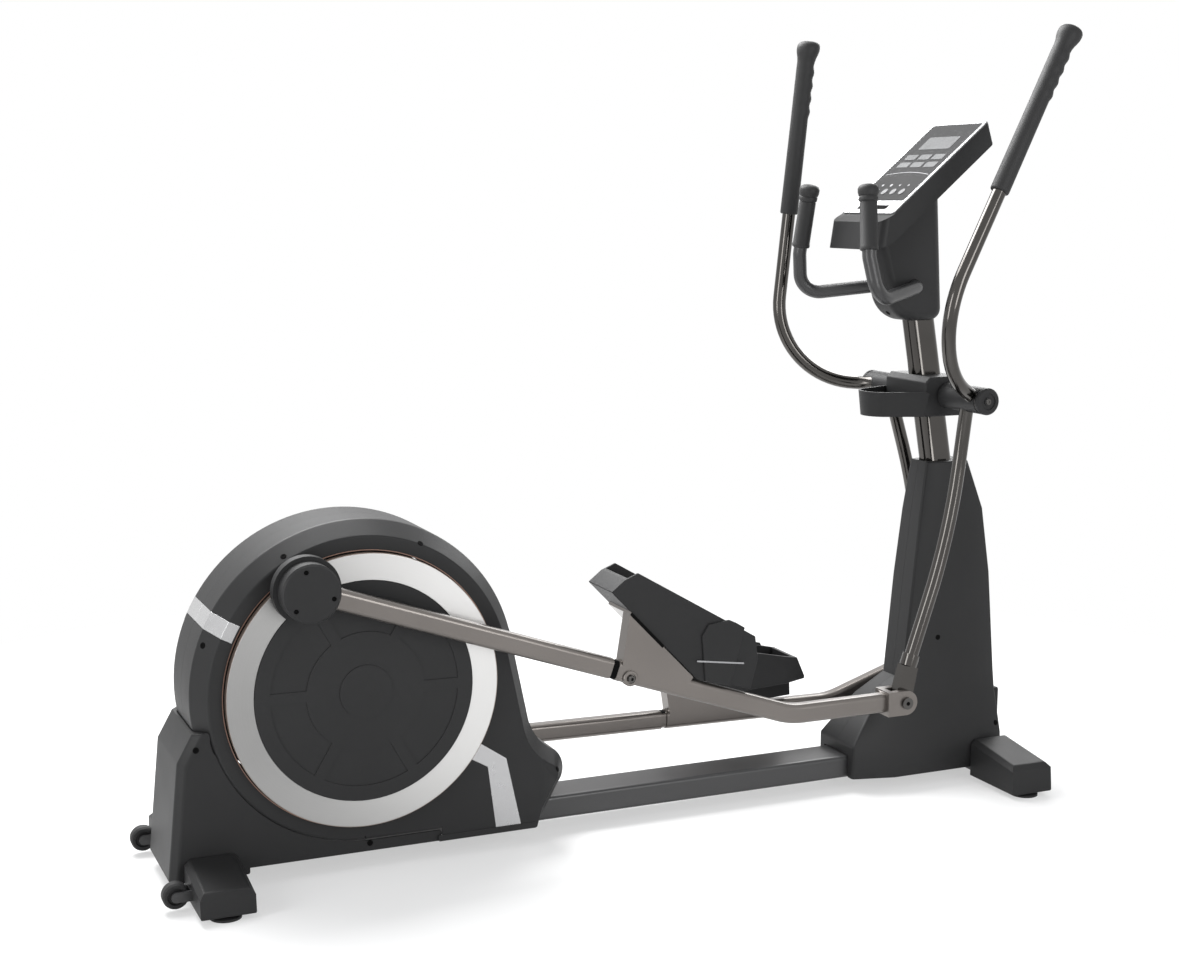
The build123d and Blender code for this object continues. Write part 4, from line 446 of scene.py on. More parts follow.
@dataclass(frozen=True)
class Turned(Finish):
    """Silver face with fine turning lines round an axis along Y, and a painted highlight in its colour to
    one side of it.
    """

    centre: Pair = (0.0, 0.0)
    pitch: float = 0.0012
    metallic: float = 0.85
    gleam: float = 0.3
    gleam_turn: float = 0.0
    line_share: float = 0.15
    line_spread: float = 0.18
    line_depth: float = 0.00008
    cloud: float = 5.0
    cloud_share: float = 0.1
    gleam_share: float = 0.75

    def dress(self, shader: Shader) -> None:
        """Put the lines in the bump and the roughness, and a painted highlight in the colour on one side of
        the axis.

        Args:
            shader: The new material.
        """
        along_x, _, along_z = shader.axes(shader.place())
        from_x = along_x - self.centre[0]
        from_z = along_z - self.centre[1]
        reach = (from_x**2.0 + from_z**2.0) ** 0.5
        radial = shader.node("ShaderNodeCombineXYZ", {}, {"X": reach})
        lines = shader.noise(1.0 / self.pitch, vector=radial)
        cloud = shader.noise(self.cloud)
        # Painted highlight: a sine of the turn round the axis lightens the colour on one side.
        turn = from_z.math("ARCTAN2", from_x) + math.radians(self.gleam_turn)
        gleam = turn.sin() * 0.5 + 0.5
        shade = lines * self.line_share + cloud * self.cloud_share + gleam * self.gleam_share
        shader.feed(
            Base_Color=self.tones(shader, shade, self.gleam, self.gleam),
            Roughness=self.roughness + lines.centred() * self.line_spread,
            Metallic=self.metallic,
        )
        shader.bump(lines, self.line_depth, strength=0.8)


@dataclass(frozen=True)
class Lacquered(Finish):
    """Silver lacquer on moulded trim."""

    metallic: float = 0.75
    coat: float = 0.4
    flake: float = 0.05
    flakes: float = 3200.0
    waves: float = 60.0
    wave_spread: float = 0.08
    wave_depth: float = 0.00002

    def dress(self, shader: Shader) -> None:
        """Put the flakes in the colour and a slight waviness in the bump.

        Args:
            shader: The new material.
        """
        flakes = shader.noise(self.flakes, detail=1.0)
        wave = shader.noise(self.waves, detail=2.0)
        shader.feed(
            Base_Color=self.tones(shader, flakes, self.flake, self.flake),
            Roughness=self.roughness + wave.centred() * self.wave_spread,
            Metallic=self.metallic,
            Coat_Weight=self.coat,
        )
        shader.bump(wave, self.wave_depth, strength=0.5)


@dataclass(frozen=True)
class Foam(Finish):
    """Closed-cell foam or soft rubber with open pores."""

    pores: float = 900.0
    depth: float = 0.00035
    shine: float = 0.3
    pore_share: float = 0.6
    darker: float = 0.16
    lighter: float = 0.14
    cloud: float = 25.0
    cloud_share: float = 0.5
    cloud_spread: float = 0.15

    def dress(self, shader: Shader) -> None:
        """Put the pores in the bump and the colour.

        Args:
            shader: The new material.
        """
        inputs = {"Vector": shader.place(), "Scale": self.pores}
        cells = shader.node("ShaderNodeTexVoronoi", {}, inputs, "Distance")
        cloud = shader.noise(self.cloud, detail=4.0)
        shade = cells * self.pore_share + cloud * self.cloud_share
        shader.feed(
            Base_Color=self.tones(shader, shade, self.darker, self.lighter),
            Roughness=self.roughness + cloud.centred() * self.cloud_spread,
            Specular_IOR_Level=self.shine,
        )
        shader.bump(cells, self.depth, strength=0.7)


@dataclass(frozen=True)
class Gloss(Finish):
    """Clear glossy plastic over a dark print, with faint dust."""

    shine: float = 0.5
    dust: float = 90.0
    dust_from: float = 0.55
    dust_lighter: float = 1.5
    dust_spread: float = 0.4

    def dress(self, shader: Shader) -> None:
        """Put the dust in the roughness and the colour.

        Args:
            shader: The new material.
        """
        specks = (shader.noise(self.dust, detail=6.0) - self.dust_from).clamp()
        shader.feed(
            Base_Color=self.tones(shader, specks, 0.0, self.dust_lighter),
            Roughness=self.roughness + specks * self.dust_spread,
            Specular_IOR_Level=self.shine,
        )


@dataclass(frozen=True)
class Lattice(Finish):
    """Dark display glass over a grid of unlit lamps, on a face tilted about Y."""

    tilt: float = 40.0
    pitch: float = 0.0032
    dot_share: float = 0.8
    darker: float = 0.3
    lighter: float = 0.6
    haze: float = 40.0
    haze_share: float = 0.3
    haze_spread: float = 0.05

    def dress(self, shader: Shader) -> None:
        """Put round dots in the colour, on a square grid along the face.

        Args:
            shader: The new material.
        """
        along_x, along_y, along_z = shader.axes(shader.place())
        slope = math.radians(self.tilt)
        up_face = along_x * math.cos(slope) + along_z * math.sin(slope)
        turns = math.tau / self.pitch
        dots = ((along_y * turns).sin() * (up_face * turns).sin()) ** 2.0
        haze = shader.noise(self.haze)
        shade = (dots * self.dot_share + haze * self.haze_share).clamp()
        shader.feed(
            Base_Color=self.tones(shader, shade, self.darker, self.lighter),
            Roughness=self.roughness + haze * self.haze_spread,
        )


CRANK_CENTRE = (-0.576, 0.373)
FINISHES: dict[Slot, Finish] = {
    Slot.FRAME: Painted(
        "satin_black_frame", (0.022, 0.022, 0.023), 0.4, metallic=0.0, flake=0.2, coat=0.15
    ),
    Slot.LINK: Painted("taupe_link", (0.150, 0.136, 0.126), 0.3, metallic=0.75, flake=0.2, coat=0.25),
    Slot.CHROME: Polished("dark_nickel", (0.078, 0.074, 0.070), 0.09),
    Slot.STEEL: Polished("blackened_steel", (0.09, 0.087, 0.084), 0.28),
    Slot.CAST: Painted("cast_flywheel", (0.10, 0.10, 0.105), 0.5, metallic=0.6, flake=0.2, coat=0.0),
    Slot.COVER: Moulded("charcoal_cover", (0.022, 0.022, 0.0225), 0.46, shine=0.14),
    Slot.PEDAL: Moulded(
        "charcoal_pedal", (0.0195, 0.0195, 0.020), 0.46, grain=900.0, depth=0.0002, shine=0.14
    ),
    Slot.CONSOLE: Moulded("charcoal_console", (0.024, 0.024, 0.0245), 0.42, shine=0.15),
    Slot.TRIM: Lacquered("silver_lacquer", (0.41, 0.41, 0.415), 0.26),
    Slot.RUBBER: Foam("moulded_rubber", (0.014, 0.014, 0.0145), 0.65, pores=700.0, depth=0.0002),
    Slot.GRIP: Foam("grip_foam_black", (0.018, 0.018, 0.0185), 0.58, depth=0.00012),
    Slot.PANEL: Gloss("gloss_black_panel", (0.006, 0.006, 0.007), 0.12, shine=0.4),
    Slot.KEY: Moulded(
        "grey_key", (0.10, 0.10, 0.104), 0.35, grain=1500.0, depth=0.00005, mottle=0.08, coat=0.3
    ),
}
# The ring's colour carries a painted highlight, turned 78 degrees round the crank's centre.
RING_FINISH = Turned(
    "turned_silver_ring", (0.44, 0.437, 0.432), 0.34, CRANK_CENTRE, gleam=0.5, gleam_turn=78.0
)
# Black of sunk screws, bands and slot floors, also used for the painted shadow strip under each pedal's
# shelf.
SINK_AND_SHADE_FINISH = Moulded(
    "black_screw_sink", (0.0025, 0.0025, 0.0025), 0.75, grain=1500.0, depth=0.00005, shine=0.05
)
FIELD_FINISH = Moulded(
    "matt_key_field", (0.006, 0.006, 0.0065), 0.6, grain=1500.0, depth=0.00005, shine=0.12
)
# Grey of the console's print, also used for the painted highlight strip along each pedal's ledge.
PRINT_AND_HIGHLIGHT_FINISH = Moulded("grey_print", (0.30, 0.30, 0.31), 0.4, grain=1500.0, depth=0.00003)
LINE_FINISH = Painted("copper_line", (0.20, 0.115, 0.085), 0.4, metallic=0.5, flake=0.1, coat=0.2)
EDGE_FINISH = Painted("bronze_disc_edge", (0.28, 0.235, 0.205), 0.32, metallic=0.8, flake=0.1, coat=0.2)
WINDOW_FINISH = Lattice("display_glass", (0.085, 0.087, 0.09), 0.2)

RECORD = frame["record"]
NODE_SLOTS: dict[str, Slot] = {row["node"]: Slot(row["material_slot"]) for row in RECORD["subparts"]}
BODY_NODES = RECORD["behaviour"]["bodies"]
NODE_BODIES: dict[str, str] = {node: body for body, nodes in BODY_NODES.items() for node in nodes}
NODE_FINISHES: dict[str, Finish] = {"crank_rings": RING_FINISH}


# Modelling bench


@dataclass(frozen=True)
class Ring:
    """One ring of a stacked body: its height, its radius and its shift towards local X."""

    height: float
    radius: float
    shift: float = 0.0


class Bench:
    """Hand tools on the current scene: selection, edit mode and finishing."""

    @staticmethod
    def clear() -> None:
        """Leave edit mode and deselect everything."""
        if bpy.context.object and bpy.context.object.mode != "OBJECT":
            bpy.ops.object.mode_set(mode="OBJECT")
        bpy.ops.object.select_all(action="DESELECT")

    @staticmethod
    def pick(piece: bpy.types.Object) -> None:
        """Select one object alone and make it active.

        Args:
            piece: The object.
        """
        Bench.clear()
        piece.select_set(True)
        bpy.context.view_layer.objects.active = piece

    @staticmethod
    @contextmanager
    def editing(piece: bpy.types.Object) -> Iterator[None]:
        """Edit mode on one object with everything in it selected.

        Args:
            piece: The object to edit.
        """
        Bench.pick(piece)
        bpy.ops.object.mode_set(mode="EDIT")
        bpy.ops.mesh.select_all(action="SELECT")
        yield
        bpy.ops.object.mode_set(mode="OBJECT")

    @staticmethod
    def started(name: str) -> bpy.types.Object:
        """Name the object that was just made.

        Args:
            name: Its name.

        Returns:
            The object.
        """
        piece = bpy.context.object
        piece.name = name
        return piece

    @staticmethod
    def choose_top(piece: bpy.types.Object) -> None:
        """In edit mode, select only the faces that look up.

        Args:
            piece: The object being edited.
        """
        bpy.ops.mesh.select_mode(type="FACE")
        bpy.ops.mesh.select_all(action="DESELECT")
        mesh = bmesh.from_edit_mesh(piece.data)
        for face in mesh.faces:
            face.select_set(face.normal.z > LOOKS_UP)
        bmesh.update_edit_mesh(piece.data)

    @staticmethod
    def close_up() -> None:
        """In edit mode, merge doubles, close open rims and point all faces outwards."""
        bpy.ops.mesh.select_all(action="SELECT")
        bpy.ops.mesh.remove_doubles(threshold=MERGE_DISTANCE)
        bpy.ops.mesh.fill_holes(sides=0)
        bpy.ops.mesh.select_all(action="SELECT")
        bpy.ops.mesh.normals_make_consistent(inside=False)

    @staticmethod
    def draw_out(x: float, z: float) -> None:
        """In edit mode, extrude the selected faces along X and Z."""
        bpy.ops.mesh.extrude_region_move(TRANSFORM_OT_translate={"value": (x, 0.0, z)})

    @staticmethod
    def stretch(x: float, y: float, z: float, middle: Point = (0.0, 0.0, 0.0)) -> None:
        """In edit mode, scale what is selected about a point."""
        bpy.ops.transform.resize(value=(x, y, z), center_override=middle)

    @staticmethod
    def stack(name: str, rings: Iterable[Ring], corners: int = 28) -> bpy.types.Object:
        """Model a round body along Z from rings, each drawn out of the last one.

        Args:
            name: Name of the piece.
            rings: The rings from the lowest up.
            corners: Corners of each ring.

        Returns:
            The closed body.
        """
        steps = iter(rings)
        last = next(steps)
        Bench.clear()
        bpy.ops.mesh.primitive_circle_add(vertices=corners, radius=last.radius, fill_type="NGON")
        body = Bench.started(name)
        with Bench.editing(body):
            bpy.ops.transform.translate(value=(last.shift, 0.0, last.height))
            for ring in steps:
                Bench.draw_out(ring.shift - last.shift, ring.height - last.height)
                scale = ring.radius / last.radius
                Bench.stretch(scale, scale, 1.0, (ring.shift, 0.0, ring.height))
                last = ring
            Bench.close_up()
        return body

    @staticmethod
    def duplicate(piece: bpy.types.Object, name: str) -> bpy.types.Object:
        """Copy an object with a mesh of its own.

        Args:
            piece: A new piece or a CAD node's object.
            name: Name of the copy.

        Returns:
            The copy, in the same place and free of its CAD node.
        """
        Bench.pick(piece)
        bpy.ops.object.duplicate()
        twin = Bench.started(name)
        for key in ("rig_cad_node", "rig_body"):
            if key in twin:
                del twin[key]
        twin.parent = None
        return twin

    @staticmethod
    def repeat(pattern: bpy.types.Object, places: Iterable[Matrix], name: str) -> bpy.types.Object:
        """Set a copy of a pattern piece down at each place, join the copies and drop the pattern.

        Args:
            pattern: The piece that is copied.
            places: The places of the copies.
            name: Name of the joined piece.

        Returns:
            The joined piece.
        """
        copies = []
        for place in places:
            copy = Bench.duplicate(pattern, f"{name}_copy")
            copy.matrix_world = place
            copies.append(copy)
        Bench.pick(pattern)
        bpy.ops.object.delete()
        return Bench.join(copies, name)

    @staticmethod
    def join(pieces: list[bpy.types.Object], name: str) -> bpy.types.Object:
        """Join pieces of one body into one object.

        Args:
            pieces: The pieces.
            name: Name of the joined object.

        Returns:
            The joined object.
        """
        Bench.clear()
        for piece in pieces:
            piece.select_set(True)
        bpy.context.view_layer.objects.active = pieces[0]
        bpy.ops.object.join()
        return Bench.started(name)

    @staticmethod
    def bevel(piece: bpy.types.Object, width: float, angle: float = 32.0, segments: int = 3) -> None:
        """Round a piece's sharp edges with an applied Bevel modifier.

        Args:
            piece: The piece.
            width: Width of the rounding in metres.
            angle: The least edge angle that is rounded, in degrees.
            segments: Faces across the rounding.
        """
        Bench.pick(piece)
        rounding = piece.modifiers.new("rounding", "BEVEL")
        rounding.width = width
        rounding.segments = segments
        rounding.limit_method = "ANGLE"
        rounding.angle_limit = math.radians(angle)
        rounding.use_clamp_overlap = True
        bpy.ops.object.modifier_apply(modifier=rounding.name)

    @staticmethod
    def smooth(piece: bpy.types.Object, angle: float = 35.0) -> None:
        """Shade smooth up to an edge angle in degrees."""
        Bench.pick(piece)
        bpy.ops.object.shade_smooth_by_angle(angle=math.radians(angle))

    @staticmethod
    def weigh(piece: bpy.types.Object) -> None:
        """Let broad faces keep their own normals, so that narrow ones carry the rounding.

        Args:
            piece: The piece, shaded smooth.
        """
        Bench.pick(piece)
        weights = piece.modifiers.new("weights", "WEIGHTED_NORMAL")
        weights.keep_sharp = True
        bpy.ops.object.modifier_apply(modifier=weights.name)

    @staticmethod
    def paint(piece: bpy.types.Object, finish: Finish) -> None:
        """Give a piece one finish all over."""
        piece.data.materials.clear()
        piece.data.materials.append(finish.material())

    @staticmethod
    def hand_over(
        piece: bpy.types.Object, body: str, slot: Slot, *nodes: str, finish: Finish | None = None
    ) -> None:
        """Paint a piece, apply its place and let it ride on a body.

        Args:
            piece: The finished piece.
            body: The CAD body that carries it.
            slot: Its material slot.
            nodes: The CAD nodes that it stands for.
            finish: Its finish, or None for the slot's own.
        """
        Bench.paint(piece, finish or FINISHES[slot])
        Bench.pick(piece)
        bpy.ops.object.transform_apply(location=True, rotation=True, scale=True)
        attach(piece, body)
        if nodes:
            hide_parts(*nodes)
        LOG.info("%s rides on %s", piece.name, body)


class Gauge:
    """Reads places off the CAD frame."""

    @staticmethod
    def centre(node: str) -> Vector:
        """Middle of a node's box."""
        low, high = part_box(node)
        return (low + high) / 2.0

    @staticmethod
    def outer_face(node: str, side: Side) -> float:
        """Y of a node's face that looks away from the machine."""
        low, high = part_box(node)
        return low.y if side is Side.RIGHT else high.y

    @staticmethod
    def axis(node: str, side: Side) -> tuple[Vector, Vector]:
        """Ends of a long round solid's middle line.

        Args:
            node: The CAD node.
            side: Only the node's points on this side count.

        Returns:
            The lower and the upper end.
        """
        points = [tuple(vertex.co) for vertex in frame["nodes"][node].data.vertices]
        cloud = numpy.array([point for point in points if point[1] * side.value > 0.0])
        middle = cloud.mean(axis=0)
        _, directions = numpy.linalg.eigh(numpy.cov((cloud - middle).T))
        along = directions[:, -1] * numpy.sign(directions[2, -1])
        reach = (cloud - middle) @ along
        return Vector(middle + along * reach.min()), Vector(middle + along * reach.max())

    @staticmethod
    def standing(point: Vector, x_axis: Vector, z_axis: Vector) -> Matrix:
        """Place at a point, from two of its axes."""
        turn = Matrix((x_axis, z_axis.cross(x_axis), z_axis)).transposed()
        return Matrix.Translation(point) @ turn.to_4x4()

    @staticmethod
    def upright(foot: Vector, tip: Vector) -> Matrix:
        """Find the place of a long round piece.

        Args:
            foot: The lower end of its middle line.
            tip: The upper end.

        Returns:
            The place at the foot, whose Z runs to the tip and whose X leans to the front of the machine.
        """
        up = (tip - foot).normalized()
        front = Vector((1.0, 0.0, 0.0))
        front = (front - up * front.dot(up)).normalized()
        return Gauge.standing(foot, front, up)

    @staticmethod
    def facing(point: Vector, normal: Vector) -> Matrix:
        """Place at a point whose Z follows a normal."""
        return Matrix.Translation(point) @ normal.to_track_quat("Z", "Y").to_matrix().to_4x4()

    @staticmethod
    def surface(nodes: Iterable[str], x: float, z: float, side: Side) -> Matrix:
        """Place on the outermost of some nodes, seen from one side.

        Args:
            nodes: The CAD nodes that may be hit.
            x: Place along the machine.
            z: Height.
            side: The side that the eye stands on.

        Returns:
            The place on the surface, with Z outwards.
        """
        eye = Vector((x, side.value, z))
        hits = []
        for node in nodes:
            mesh = frame["nodes"][node].data
            corners = [vertex.co for vertex in mesh.vertices]
            tree = BVHTree.FromPolygons(corners, [face.vertices[:] for face in mesh.polygons])
            point, normal, _, distance = tree.ray_cast(eye, -side.outwards)
            if point is not None:
                hits.append((distance, point, normal))
        _, point, normal = min(hits, key=lambda hit: hit[0])
        return Gauge.facing(point, normal)


# Repeated shapes


@dataclass(frozen=True)
class Plate:
    """Flat plate with rounded corners, standing on Z = 0: its width along X and its length along Y."""

    width: float
    length: float
    corner: float
    thickness: float
    segments: int = 5

    def model(self, name: str) -> bpy.types.Object:
        """Model the plate from a plane.

        Args:
            name: Name of the piece.

        Returns:
            The plate.
        """
        Bench.clear()
        bpy.ops.mesh.primitive_plane_add(size=1.0)
        plate = Bench.started(name)
        with Bench.editing(plate):
            Bench.stretch(self.width, self.length, 1.0)
            bpy.ops.mesh.bevel(offset=self.corner, segments=self.segments, affect="VERTICES")
            bpy.ops.mesh.select_all(action="SELECT")
            Bench.draw_out(0.0, self.thickness)
            Bench.close_up()
        return plate


@dataclass(frozen=True)
class Hoop:
    """Hoop round an axis along Y: middle radius, distance from the centre plane, and section."""

    radius: float
    reach: float
    width: float
    depth: float
    steps: int = 144

    def model(self, name: str, centre: Vector, side: Side) -> bpy.types.Object:
        """Model the hoop on one side by spinning its section.

        Args:
            name: Name of the piece.
            centre: The axis, where it meets the centre plane.
            side: Side of the machine.

        Returns:
            The hoop.
        """
        Bench.clear()
        bpy.ops.mesh.primitive_plane_add(size=1.0)
        hoop = Bench.started(name)
        with Bench.editing(hoop):
            Bench.stretch(self.width, self.depth, 1.0)
            start = Vector((self.radius, self.reach * side.value, 0.0))
            bpy.ops.transform.translate(value=centre + start)
            bpy.ops.mesh.spin(steps=self.steps, angle=math.tau, center=centre, axis=(0.0, 1.0, 0.0))
            Bench.close_up()
        return hoop


@dataclass(frozen=True)
class SocketScrew:
    """Round screw head with a chamfer and a socket, its axis along Z and its seat at Z = 0.

    The chamfer's width is a share of the head's radius. Its rise and the socket's depth are shares of
    the height.
    """

    head: float
    height: float
    socket: float
    corners: int = 18
    chamfer: float = 0.14
    chamfer_rise: float = 0.3
    sink: float = 0.9

    def model(self, name: str) -> bpy.types.Object:
        """Model the head from a cylinder: chamfer, rim and sunk socket.

        Args:
            name: Name of the piece.

        Returns:
            The screw head.
        """
        Bench.clear()
        depth = 2.0 * self.height
        bpy.ops.mesh.primitive_cylinder_add(vertices=self.corners, radius=self.head, depth=depth)
        screw = Bench.started(name)
        chamfer = self.head * self.chamfer
        with Bench.editing(screw):
            Bench.choose_top(screw)
            bpy.ops.mesh.inset(thickness=chamfer, depth=self.height * self.chamfer_rise)
            bpy.ops.mesh.inset(thickness=self.head - chamfer - self.socket)
            Bench.draw_out(0.0, -self.height * self.sink)
        return screw


@dataclass(frozen=True)
class Strip:
    """Thin strip on a link's outer face: its ends along and across the link, its Y and its height."""

    start: Pair
    end: Pair
    face: float
    height: float
    thickness: float = 0.0008
    corner_share: float = 0.3


# Sub-assemblies


@dataclass
class RoundedShells:
    """CAD pieces that are copied, welded, rounded and shaded smooth, with the width of each rounding.

    A star in a name stands for each side in turn. A width above the fine one rounds the outer corners
    between broad faces, and the fine width then rounds every edge that is still sharp. A width of 0
    rounds nothing.
    """

    widths: tuple[tuple[str, float], ...] = (
        ("*_upper_cover", 0.003),
        ("*_lower_cover", 0.003),
        ("rear_base_cover", 0.004),
        ("*_column_cover", 0.005),
        ("stabilizer_end_caps", 0.004),
        ("cup_tray", 0.003),
        ("console_housing", 0.0008),
        ("console_trim", 0.0008),
        ("console_post", 0.0008),
        ("*_pedal", 0.002),
        ("crank_rings", 0.0008),
        ("cover_trim_strips", 0.0008),
        ("*_swing_arm", 0.0),
        ("static_handlebar", 0.0),
        ("mast", 0.0),
        ("*_link_rear", 0.0),
        ("*_link_front", 0.0),
    )
    fine: float = 0.0008
    sharp: float = 32.0
    margin: float = 1.05
    breadth: float = 2.2
    segments: int = 4
    weld: float = 0.00002
    flat: float = 0.5

    def nodes(self) -> Iterator[tuple[str, float]]:
        """Spell out the starred names.

        Returns:
            Every node with its width.
        """
        for name, width in self.widths:
            sides = Side if "*" in name else (Side.RIGHT,)
            for side in sides:
                yield name.replace("*", side.word), width

    @staticmethod
    def reaches(loop: bmesh.types.BMLoop, distance: float) -> bool:
        """Test how far a face goes on from one of its edges.

        Args:
            loop: The face's loop along the edge.
            distance: How far inwards from the middle of the edge.

        Returns:
            True when the face is still there.
        """
        start, end = loop.vert.co, loop.link_loop_next.vert.co
        inwards = loop.face.normal.cross(end - start).normalized()
        return bmesh.geometry.intersect_face_point(loop.face, (start + end) / 2.0 + inwards * distance)

    @staticmethod
    def cramped(edge: bmesh.types.BMEdge, chosen: set[bmesh.types.BMEdge], distance: float) -> bool:
        """True when an edge that isn't chosen and is shorter than a distance meets this edge's end."""
        others = (other for vertex in edge.verts for other in vertex.link_edges if other not in chosen)
        return any(other.calc_length() < distance for other in others)

    def choose_corners(self, shell: bpy.types.Object, width: float) -> None:
        """In edit mode, select the outer corners between faces that are broad enough to be rounded.

        Args:
            shell: The welded copy.
            width: Width of the rounding in metres.
        """
        bpy.ops.mesh.select_mode(type="EDGE")
        bpy.ops.mesh.select_all(action="DESELECT")
        mesh = bmesh.from_edit_mesh(shell.data)
        chosen = set()
        for edge in mesh.edges:
            corner = edge.is_convex and edge.calc_face_angle(0.0) > math.radians(self.sharp)
            if corner and all(self.reaches(loop, self.breadth * width) for loop in edge.link_loops):
                chosen.add(edge)
        cramped = chosen
        while cramped:
            cramped = {edge for edge in chosen if self.cramped(edge, chosen, self.margin * width)}
            chosen -= cramped
        for edge in chosen:
            edge.select_set(True)
        bmesh.update_edit_mesh(shell.data)

    def build(self) -> None:
        """Make every rounded copy and let it stand for its node."""
        for node, width in self.nodes():
            shell = Bench.duplicate(frame["nodes"][node], f"{node}_rounded")
            with Bench.editing(shell):
                bpy.ops.mesh.remove_doubles(threshold=self.weld)
                bpy.ops.mesh.dissolve_limited(angle_limit=math.radians(self.flat))
                if width > self.fine:
                    self.choose_corners(shell, width)
                    bpy.ops.mesh.bevel(
                        offset=width, segments=self.segments, affect="EDGES", clamp_overlap=False
                    )
            if width:
                Bench.bevel(shell, self.fine, self.sharp)
            Bench.smooth(shell)
            Bench.weigh(shell)
            finish = NODE_FINISHES.get(node)
            Bench.hand_over(shell, NODE_BODIES[node], NODE_SLOTS[node], node, finish=finish)


@dataclass
class CoverScrews:
    """Black sunk screws of the drive covers, the column covers and the console post.

    Those of the drum are set by their distance from the crank's centre and their angle, those of the
    column by their place along the machine and their height.
    """

    screw: SocketScrew = SocketScrew(0.0060, 0.0006, 0.0030)
    drum: tuple[Pair, ...] = (
        (0.310, 118.7),
        (0.304, 66.6),
        (0.322, 160.1),
        (0.338, -165.4),
        (0.315, -88.3),
        (0.434, -48.3),
        (0.462, -27.5),
    )
    column: tuple[Pair, ...] = ((0.795, 0.3325), (0.952, 0.118))
    post: Point = (0.6734, 0.0, 1.0678)
    post_normal: Point = (-0.652, 0.0, -0.759)

    def build(self) -> None:
        """Set the screws on both sides and one under the console post."""
        places = [Gauge.facing(Vector(self.post), Vector(self.post_normal))]
        for side in Side:
            covers = [f"{side.word}_upper_cover", f"{side.word}_lower_cover"]
            covers += ["rear_base_cover", "cover_trim_strips"]
            for reach, degrees in self.drum:
                turn = math.radians(degrees)
                x = CRANK_CENTRE[0] + reach * math.cos(turn)
                z = CRANK_CENTRE[1] + reach * math.sin(turn)
                places.append(Gauge.surface(covers, x, z, side))
            for x, z in self.column:
                places.append(Gauge.surface([f"{side.word}_column_cover"], x, z, side))
        screws = Bench.repeat(self.screw.model("screw_pattern"), places, "cover_screws")
        Bench.smooth(screws)
        Bench.hand_over(screws, "frame", Slot.COVER, finish=SINK_AND_SHADE_FINISH)


@dataclass
class CrankHoops:
    """Lip and copper line round each cover opening, and the bronze edge of each crank disc."""

    lip: Hoop = Hoop(0.2765, 0.1120, 0.0060, 0.0085)
    line: Hoop = Hoop(0.2752, 0.1164, 0.0016, 0.0006)
    edge: Hoop = Hoop(0.2714, 0.1252, 0.0008, 0.0150)

    def pair(self, name: str, hoop: Hoop, body: str, slot: Slot, finish: Finish | None = None) -> None:
        """Model one kind of hoop on both sides as one piece.

        Args:
            name: Name of the piece.
            hoop: The hoop's sizes.
            body: The CAD body that carries it.
            slot: Its material slot.
            finish: Its finish, or None for the slot's own.
        """
        centre = Vector((CRANK_CENTRE[0], 0.0, CRANK_CENTRE[1]))
        both = Bench.join([hoop.model(f"{side.word}_{name}", centre, side) for side in Side], name)
        Bench.smooth(both)
        Bench.hand_over(both, body, slot, finish=finish)

    def build(self) -> None:
        """Model the three kinds of hoop."""
        self.pair("opening_lips", self.lip, "frame", Slot.COVER)
        self.pair("opening_lines", self.line, "frame", Slot.TRIM, LINE_FINISH)
        self.pair("disc_edges", self.edge, "crank", Slot.TRIM, EDGE_FINISH)


@dataclass
class SkirtBands:
    """Low bands along the lower edge of the drive covers, in front of the base cover."""

    band: Plate = Plate(0.211, 0.013, 0.003, 0.0014)
    overlap: float = 0.0080
    rounding: float = 0.0004
    sharp: float = 60.0

    def build(self) -> None:
        """Model one band and copy it to both sides."""
        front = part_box("rear_base_cover")[1].x - self.overlap
        low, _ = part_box("right_lower_cover")
        places = []
        for side in Side:
            x, z = front + self.band.width / 2.0, low.z + self.band.length / 2.0
            places.append(Gauge.facing(Vector((x, low.y * -side.value, z)), side.outwards))
        both = Bench.repeat(self.band.model("band_pattern"), places, "skirt_bands")
        Bench.bevel(both, self.rounding, self.sharp)
        Bench.hand_over(both, "frame", Slot.COVER)


